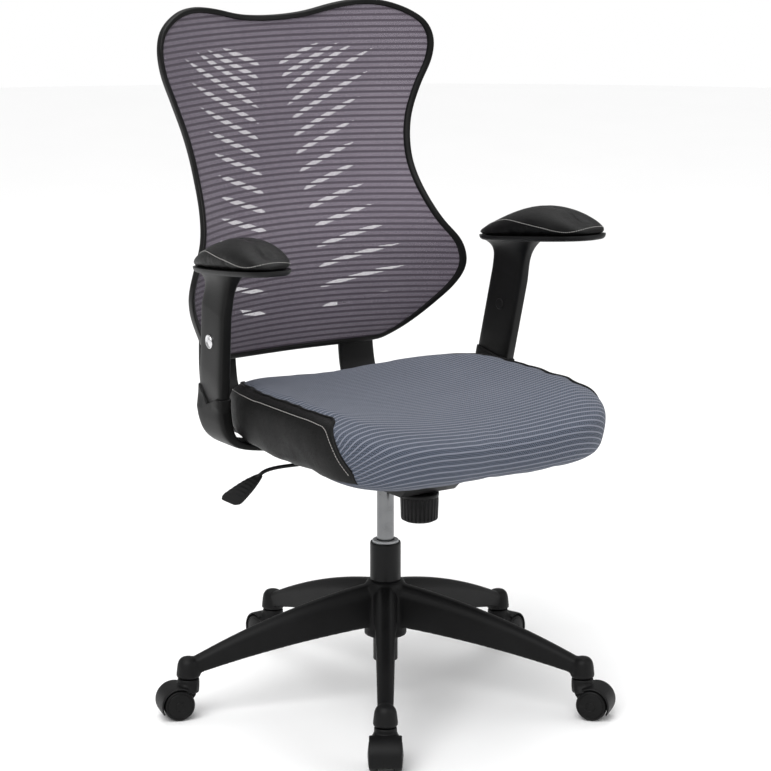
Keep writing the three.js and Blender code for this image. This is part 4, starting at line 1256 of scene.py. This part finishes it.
# %% Puffing up a pad
def puffed(obj, voxel, cap, finish, frames=20, pressure=4.0):
    modify(obj, "REMESH", mode="VOXEL", voxel_size=voxel, use_smooth_shade=True)
    modify(obj, "SMOOTH", factor=0.5, iterations=3)
    settled(obj)
    start = [vertex.co.copy() for vertex in obj.data.vertices]
    cloth_sim = modify(obj, "CLOTH")
    cloth_sim.settings.use_pressure = True
    cloth_sim.settings.uniform_pressure_force = pressure
    cloth_sim.settings.effector_weights.gravity = 0
    cloth_sim.settings.quality = 4
    for number in range(1, frames + 1):
        bpy.context.scene.frame_set(number)
    settled(obj)
    moves = []
    for vertex, before in zip(obj.data.vertices, start):
        move = vertex.co - before
        moves.append(move.length)
        vertex.co = before + move * min(1, cap / max(move.length, 1e-9))
    bpy.context.scene.frame_set(1)
    print(f"{obj.name} swelled by up to {max(moves) * 1000:.1f} mm, capped at {cap * 1000:.0f}")
    modify(obj, "SMOOTH", factor=0.5, iterations=4)
    modify(obj, "SUBSURF", levels=1, render_levels=1)
    settled(obj)
    obj.data.materials.clear()
    obj.data.materials.append(finish)
    obj.data.shade_smooth()
    return obj


# %% [markdown]
# The seat has a nearly square plan, a flat middle that rises to its sides and a front lip
# that rolls down like a waterfall. Its underside has a pocket for the pan.

# %% Seat cushion
SEAT_SHRINK = 3.0


def seat_point(around, up):
    plan = 2 / 4.2 if math.sin(around) < 0 else 2 / 3.4
    rounding = abs(math.cos(up)) ** lerp(0.4, 0.12, math.cos(around) ** 2)
    across = signed_power(math.cos(around), plan) * rounding
    along = signed_power(math.sin(around), plan) * rounding
    rise = signed_power(math.sin(up), 0.35 if up < 0 else 0.5)
    lip = max(0, -along - 0.35) / 0.65
    rear = max(0, along)
    width = (263 - SEAT_SHRINK) * (1 - 0.1 * rear * rear) - max(0, -rise) * 9
    y = -68 + (272 - SEAT_SHRINK) * along - 4 * max(0, rise) * lip + 10 * max(0, -rise) * lip
    height = 31 - SEAT_SHRINK + 32 * across ** 2 - 15 * lip ** 2 if rise > 0 else 42 - 6 * rear + 21 * lip
    return Vector((width * across, y, 485 + rise * height))


def seat_levels():
    low = [math.asin((k / 18) ** (1 / 0.5)) for k in range(18)]
    rest = [math.acos(lerp(math.cos(low[-1]) ** 0.42, 0.03, k / 14) ** (1 / 0.42)) for k in range(1, 15)]
    half = low + rest
    return [-up for up in reversed(half[1:])] + half


def cushion_start():
    rings = [[seat_point(2 * math.pi * i / 176, up) for i in range(176)] for up in seat_levels()]
    return made("seat_cushion_cloth", loft(rings), cloth)


POCKET_TOP = 450.2  # where the cushion's flattened underside lies
ROLL_HEIGHT = 488  # the height that the front and rear rolls of the cushion turn about


def open_pocket(obj):
    """Flattens the underside over the pan."""
    low, rear = at(-190, -217, POCKET_TOP), at(190, 240, 0)
    for vertex in obj.data.vertices:
        if low.x < vertex.co.x < rear.x and low.y < vertex.co.y < rear.y and vertex.co.z < low.z:
            vertex.co.z = low.z


def cloth_sections(skin):
    """For each slice across the seat: where its front and rear rolls start, and the cloth's
    length from there to each of 37 angles round the roll."""
    sections = []
    for k in range(105):
        x = lerp(-255, 255, k / 104)
        ends = []
        for facing in (-1, 1):
            edge = touch(skin, (x, facing * 500, ROLL_HEIGHT), (0, -facing, 0), 0)
            middle = (edge.y if edge else facing * 150) - facing * 48
            points = []
            for n in range(37):
                a = math.radians(90 - 5 * n)
                way = Vector((0, facing * math.cos(a), math.sin(a)))
                spot = touch(skin, Vector((x, middle, ROLL_HEIGHT)) + way * 150, -way, 0)
                points.append(spot or Vector((x, middle, ROLL_HEIGHT)) + way * 40)
            reach = [0.0]
            for p, q in zip(points, points[1:]):
                reach.append(reach[-1] + (q - p).length)
            ends.append((middle, reach))
        sections.append(ends)
    return sections


def lay_cloth(obj):
    sections = cloth_sections(skin_of(obj))

    def along(ends, y, z):
        for facing, (middle, reach) in zip((-1, 1), ends):
            if (y - middle) * facing > 0:
                n = (90 - math.degrees(math.atan2(z - ROLL_HEIGHT, (y - middle) * facing))) / 5
                i = max(0, min(35, int(n)))
                return facing * (middle * facing + lerp(reach[i], reach[i + 1], n - i))
        return y

    def spot(index):
        p = (obj.data.vertices[index].co - COLUMN) * 1000
        k = max(0.0, min(103.999, (p.x + 255) / 510 * 104))
        i = int(k)
        v = lerp(along(sections[i], p.y, p.z), along(sections[i + 1], p.y, p.z), k - i)
        return p.x / 1000, v / 1000

    uv_map(obj, "cloth", spot)


# %% Finding the skin of a pad
def skin_of(obj):
    return BVHTree.FromPolygons([v.co for v in obj.data.vertices],
                                [tuple(p.vertices) for p in obj.data.polygons])


def touch(skin, start, direction, lift):
    """Where a ray in millimetres meets the skin, lifted off it, or None."""
    hit, normal, _, _ = skin.ray_cast(at(*start), Vector(direction).normalized())
    if hit is None:
        return None
    if normal.dot(Vector(direction)) > 0:
        normal = -normal
    return (hit - COLUMN) * 1000 + normal * lift


cushion = puffed(cushion_start(), 0.006, 0.005, cloth)
open_pocket(cushion)
lay_cloth(cushion)
placed(cushion, "seat", "seat_cushion")


# %% [markdown]
# Black vinyl covers the seat's sides. Each panel is a grid of rays shot at the cushion
# from the side, lifted by its own thickness. Black piping closes the joint to the cloth, and a
# row of pale top-stitching runs beside it.

# %% Side panels of the seat
BORDER = [(206, 532), (100, 533), (32, 533.5), (-9, 533.5), (-54, 537.5), (-93, 540.5), (-123, 544),
          (-152, 546),
          (-174, 545), (-194, 540), (-209, 533), (-224, 523), (-236, 511), (-243, 499), (-252, 485),
          (-261, 469),
          (-268, 461)]
cushion_skin = skin_of(cushion)


def on_side(side, y, z, lift, step):
    """The skin beside (y, z), or the nearest height above or below that meets it."""
    for k in range(40):
        spot = touch(cushion_skin, (side * 400, y, z + step * k), (-side, 0, 0), lift)
        if spot and spot.x * side > 150:
            return spot
    return None


def crest(side, y):
    """The height where the cushion's side turns over into its top."""
    for k in range(100):
        spot = touch(cushion_skin, (side * 400, y, 548 - k), (-side, 0, 0), 0)
        if spot and spot.x * side > 150:
            return spot.z
    return 448


def side_seam(side):
    """The panel's upper edge as (y, z), a little below the crest and without kinks."""
    table = sorted(BORDER)
    heights = []
    for k in range(94):
        y = lerp(-266, 198, k / 93)
        heights.append((y, min(smooth(table, y), crest(side, y) - 3.5)))
    for _ in range(4):
        inner = [(b[0], (a[1] + b[1] * 2 + c[1]) / 4) for a, b, c in zip(heights, heights[1:], heights[2:])]
        heights = heights[:1] + inner + heights[-1:]
    return heights


def side_panel(side, seam):
    rows, points = 26, []
    columns = 0
    for k in range(233):
        y = lerp(198, -266, k / 232)
        top = on_side(side, y, smooth(seam, y), 1.0, -0.5)
        bottom = on_side(side, y, 447, 1.0, 0.5)
        if not top or not bottom or top.z < bottom.z + 1:
            continue
        columns += 1
        for m in range(rows + 1):
            points.append(on_side(side, y, lerp(bottom.z, top.z, m / rows), 1.0, 0.2) or bottom)
    obj = made(f"side_panel_{'left' if side > 0 else 'right'}",
               (points, grid_faces(columns - 1, rows)), side_vinyl, 80)
    if sum(face.normal.x for face in obj.data.polygons) * side < 0:
        obj.data.flip_normals()
    modify(obj, "SOLIDIFY", thickness=0.0018, offset=-1)
    return settled(obj)


def side_line(side, seam, below, lift):
    """A line on the panel at a distance below its seam."""
    path = threaded([(0, y, z) for y, z in seam[::3]], 170)
    spots = []
    for a, b, c in zip(path, path[1:], path[2:]):
        along = (c - a).normalized()
        p = b + Vector((0, along.z, -along.y)) * below
        spot = on_side(side, p.y, p.z, lift, -0.5)
        if spot:
            spots.append(spot)
    return spots


for side, word in ((1, "left"), (-1, "right")):
    seam = side_seam(side)
    placed(side_panel(side, seam), "seat", f"seat_side_{word}")
    placed(piped(f"side_piping_{word}", side_line(side, seam, 0, 1.0), 0.0019, side_vinyl), "seat",
           slot="black_vinyl")
    placed(sewn(f"side_stitches_{word}", side_line(side, seam, 8, 1.3), 0.0046, 0.0037, 0.0011), "seat",
           slot="seat_fabric")

# %% [markdown]
# ## The arms
# An arm is made once, on the sitter's left, and mirrored. Two frames place its parts: one
# runs up the sloping post and one lies along the rest, which climbs towards the front.

# %% Frames of the arm
TOE = math.radians(6)


def post_frame():
    foot, top = Vector((270.5, 76, 527)), Vector((282, 43, 700))
    up = (top - foot).normalized()
    rear = Vector((-math.sin(TOE * 0.8), math.cos(TOE * 0.8), 0))
    rear = (rear - up * rear.dot(up)).normalized()
    out = rear.cross(up)
    return Matrix.Translation(foot) @ Matrix((out, rear, up)).transposed().to_4x4()


POST = post_frame()
REST = (Matrix.Translation((283, -30, 733.5)) @ Matrix.Rotation(TOE, 4, "Z")
        @ Matrix.Rotation(math.radians(-6.9), 4, "X"))


def other_side(shape):
    points, faces = shape
    return [Vector((-p.x, p.y, p.z)) for p in points], [tuple(reversed(face)) for face in faces]


def pair(name, shape, body, node, finish, crease=35):
    """The same piece on both arms."""
    for word, part in (("left", shape), ("right", other_side(shape))):
        nodes = [f"{node}_{word}"] if node else []
        placed(made(f"{name}_{word}", part, finish, crease), body.replace("*", word), *nodes)


# %% Post sleeve, blade and button
def post_ring(half_width, half_depth, z, power=6, count=48):
    return super_ring(count, power, lambda u, v: POST @ Vector((half_width * u, half_depth * v, z)))


def sleeve():
    rings = [post_ring(9.5, 37, -20), post_ring(10.5, 38, -19)] + [post_ring(10.5, 38, z) for z in (40,
                                                                                                    90, 140)]
    low, high = POST @ Vector((0, 0, 140)), REST @ Vector((0, 66, -0.3))
    for k in range(1, 21):
        h = k / 20
        spread = h ** 4.5
        middle = low.lerp(high, h)
        wide, long = lerp(10.5, 24, spread), lerp(38, 62, spread)
        x_way = POST.to_3x3().col[0].lerp(REST.to_3x3().col[0], h).normalized()
        y_way = POST.to_3x3().col[1].lerp(REST.to_3x3().col[1], h).normalized()
        rings.append(super_ring(48, lerp(6, 3, h), lambda u, v: middle + x_way * wide * u + y_way * long * v))
    return loft(rings)


pair("arm_sleeve_skin", sleeve(), "arm_*", "arm_sleeve", satin, 50)
pair("arm_blade", loft([post_ring(w, d, z, 10) for w, d,
                        z in ((2.4, 28.4, -30), (3, 29, -29), (3, 29, 167), (2.4, 28.4, 168))]),
     "seat", None, powder_coat)
facing = POST @ Matrix.Translation((0, 0, 88)) @ Matrix.Rotation(math.pi / 2, 4, "Y")
button = turned([(0, 6.4), (11.3, 6.4), (11.3, 12.2), (10.4, 13.2), (9.2, 13), (8.2, 11.8), (7, 11.9),
                 (3, 12.8), (0, 13)], 64, 0.5)
pair("height_button", moved(button, facing), "button_*", "arm_button", button_chrome, 50)
cap = turned([(0, -8), (9.2, -8), (9.2, -11.2), (8.4, -12), (6, -11.8), (0, -12.2)], 48, 0.5)
pair("inner_cap", moved(cap, facing), "arm_*", None, knob_plastic)

# %% [markdown]
# The bracket holds the post in a collar, turns under the seat and is bolted to the pan.
# Its outer face has a V-shaped notch. Voxels melt its corners as the mould does.

# %% Arm brackets
def bracket_shape():
    stations = [(269.8, 80, 500, 25, 78, 5), (267.5, 79, 482, 24, 77, 8), (262, 78, 463.5, 20, 76, 32),
                (250, 77, 449, 15, 75, 62), (232, 77, 440.6, 12, 74, 76), (205, 76, 434.6, 9.5, 73, 84),
                (185, 75, 433.2, 9.5, 72, 90), (128, 75, 433.2, 9.5, 72, 90)]
    tables = [[(i, station[c]) for i, station in enumerate(stations)] for c in range(6)]
    rings = [post_ring(12.8, 40.2, 2), post_ring(12.8, 40.2, -12)]
    for k in range(43):
        x, y, z, thick, depth, lean = (smooth(table, k / 6) for table in tables)
        a = math.radians(lean)
        way = Vector((math.cos(a), 0, -math.sin(a))) * thick / 2
        rings.append(super_ring(48, 6, lambda u, v: Vector((x, y + v * depth / 2, z)) + way * u))
    return loft(rings)


def arm_bracket():
    obj = made("arm_bracket_skin", bracket_shape(), satin)
    notch = made("notch", loft([[POST @ Vector((x, y, z)) for y,
                                 z in ((-34, 5), (0, -17), (34, 5))] for x in (8, 20)]), satin)
    modify(obj, "BOOLEAN", object=notch, operation="DIFFERENCE", solver="EXACT")
    settled(obj)
    bpy.data.objects.remove(notch)
    modify(obj, "REMESH", mode="VOXEL", voxel_size=0.0013, use_smooth_shade=True)
    modify(obj, "SMOOTH", factor=0.5, iterations=3)
    settled(obj)
    obj.data.materials.clear()
    obj.data.materials.append(satin)
    obj.data.shade_smooth()
    return obj


def mirrored(obj, name):
    copy = bpy.data.objects.new(name, obj.data.copy())
    bpy.context.collection.objects.link(copy)
    copy.data.transform(Matrix.Translation((2 * COLUMN.x, 0, 0)) @ Matrix.Scale(-1, 4, (1, 0, 0)))
    copy.data.flip_normals()
    return copy


left_bracket = arm_bracket()
placed(mirrored(left_bracket, "arm_bracket_skin_right"), "seat", "arm_bracket_right")
left_bracket.name = "arm_bracket_skin_left"
placed(left_bracket, "seat", "arm_bracket_left")
arm_bolts = [(side * x, y, 428.2) for side in (1, -1) for x in (142, 172) for y in (56, 94)]
placed(bolts("arm_foot_bolts", arm_bolts, (0, 0, -1), 6.2, 3.4), "seat")

# %% [markdown]
# The rest is a soft pad on a hard plate. The vinyl has a wavy seam round it: grained and a
# little paler above, smooth and darker below. The pad's UV map holds the distance above
# the seam, which lets one finish change along a clean line.

# %% Arm rests
PAD_HEIGHT = [(-1, 24), (-0.8, 38), (-0.5, 50), (-0.15, 54), (0.3, 49), (0.7, 36), (1, 22)]
PAD_SEAM = [(-1, 19), (-0.68, 14), (-0.3, 23), (0.25, 34), (0.65, 28), (1, 18)]


def rest_ring(shrink, level, count=96):
    return super_ring(count, 2.7, lambda u, v: REST @ Vector(
        ((47 * (1 if v < 0 else 1 - 0.16 * v * v) - shrink) * u, (139 - shrink) * v, level(v))))


def rest_pad():
    table = [(0, 3, 0), (1, 0.6, 0.1), (2, 0.4, 0.32), (3, 4, 0.56), (4, 12, 0.78), (5, 22, 0.92),
             (6, 33, 1), (7, 42, 1.03)]
    rings = []
    for k in range(36):
        shrink = smooth([(i, s) for i, s, _ in table], k / 5)
        part = smooth([(i, t) for i, _, t in table], k / 5)
        rings.append(rest_ring(shrink + 1.2, lambda v: 9.3 + (smooth(PAD_HEIGHT, v) - 10.5) * part))
    return puffed(made("arm_rest_pad", loft(rings), pad_vinyl), 0.004, 0.005, pad_vinyl, 16, 3.0)


def mark_seam(obj):
    inverse = REST.inverted()

    def spot(index):
        p = inverse @ ((obj.data.vertices[index].co - COLUMN) * 1000)
        return (p.z - smooth(PAD_SEAM, max(-1, min(1, p.y / 139)))) / 1000, 0

    uv_map(obj, "seam", spot)


def pad_seam_line(pad):
    skin = skin_of(pad)
    spots = []
    for k in range(220):
        a = 2 * math.pi * k / 220
        u, v = signed_power(math.cos(a), 2 / 2.7), signed_power(math.sin(a), 2 / 2.7)
        start = REST @ Vector((90 * u, 190 * v, smooth(PAD_SEAM, v) + 1.5))
        target = REST @ Vector((0, 100 * v, smooth(PAD_SEAM, v) + 1.5))
        spot = touch(skin, start, target - start, 0.35)
        if spot:
            spots.append(spot)
    return spots


base_rings = [rest_ring(shrink, lambda v: z) for shrink,
              z in ((9, 0), (5.5, 0.6), (2.4, 3), (1.2, 6), (1, 8.6))]
pair("arm_rest_plate", loft(base_rings), "arm_*", "arm_base", nylon, 60)
left_pad = rest_pad()
mark_seam(left_pad)
right_pad = mirrored(left_pad, "arm_rest_pad_right")
left_pad.name = "arm_rest_pad_left"
left_seam = sewn("arm_seam_left", pad_seam_line(left_pad), 0.0040, 0.0031, 0.0009, closed=True)
right_seam = mirrored(left_seam, "arm_seam_right")
for word, pad, seam in (("left", left_pad, left_seam), ("right", right_pad, right_seam)):
    placed(pad, f"arm_{word}", f"arm_pad_{word}")
    placed(seam, f"arm_{word}", slot="black_vinyl")

# %% [markdown]
# ## What stays as measured
# Pieces deep in the mechanism keep their measured solids and only get a finish.

# %% Hidden parts
HIDDEN = {"thrust_bearing": zinc, "piston_rod": chrome, "release_pin": zinc, "tension_spring": zinc,
          "tension_bolt": zinc, "lever_bush": bush_nylon}
HIDDEN.update({f"caster_axle_{number}": zinc for number in range(1, 6)})
for node, finish in HIDDEN.items():
    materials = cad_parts[node].data.materials
    materials.clear()
    materials.append(finish)
print(len(HIDDEN), "measured solids finished")
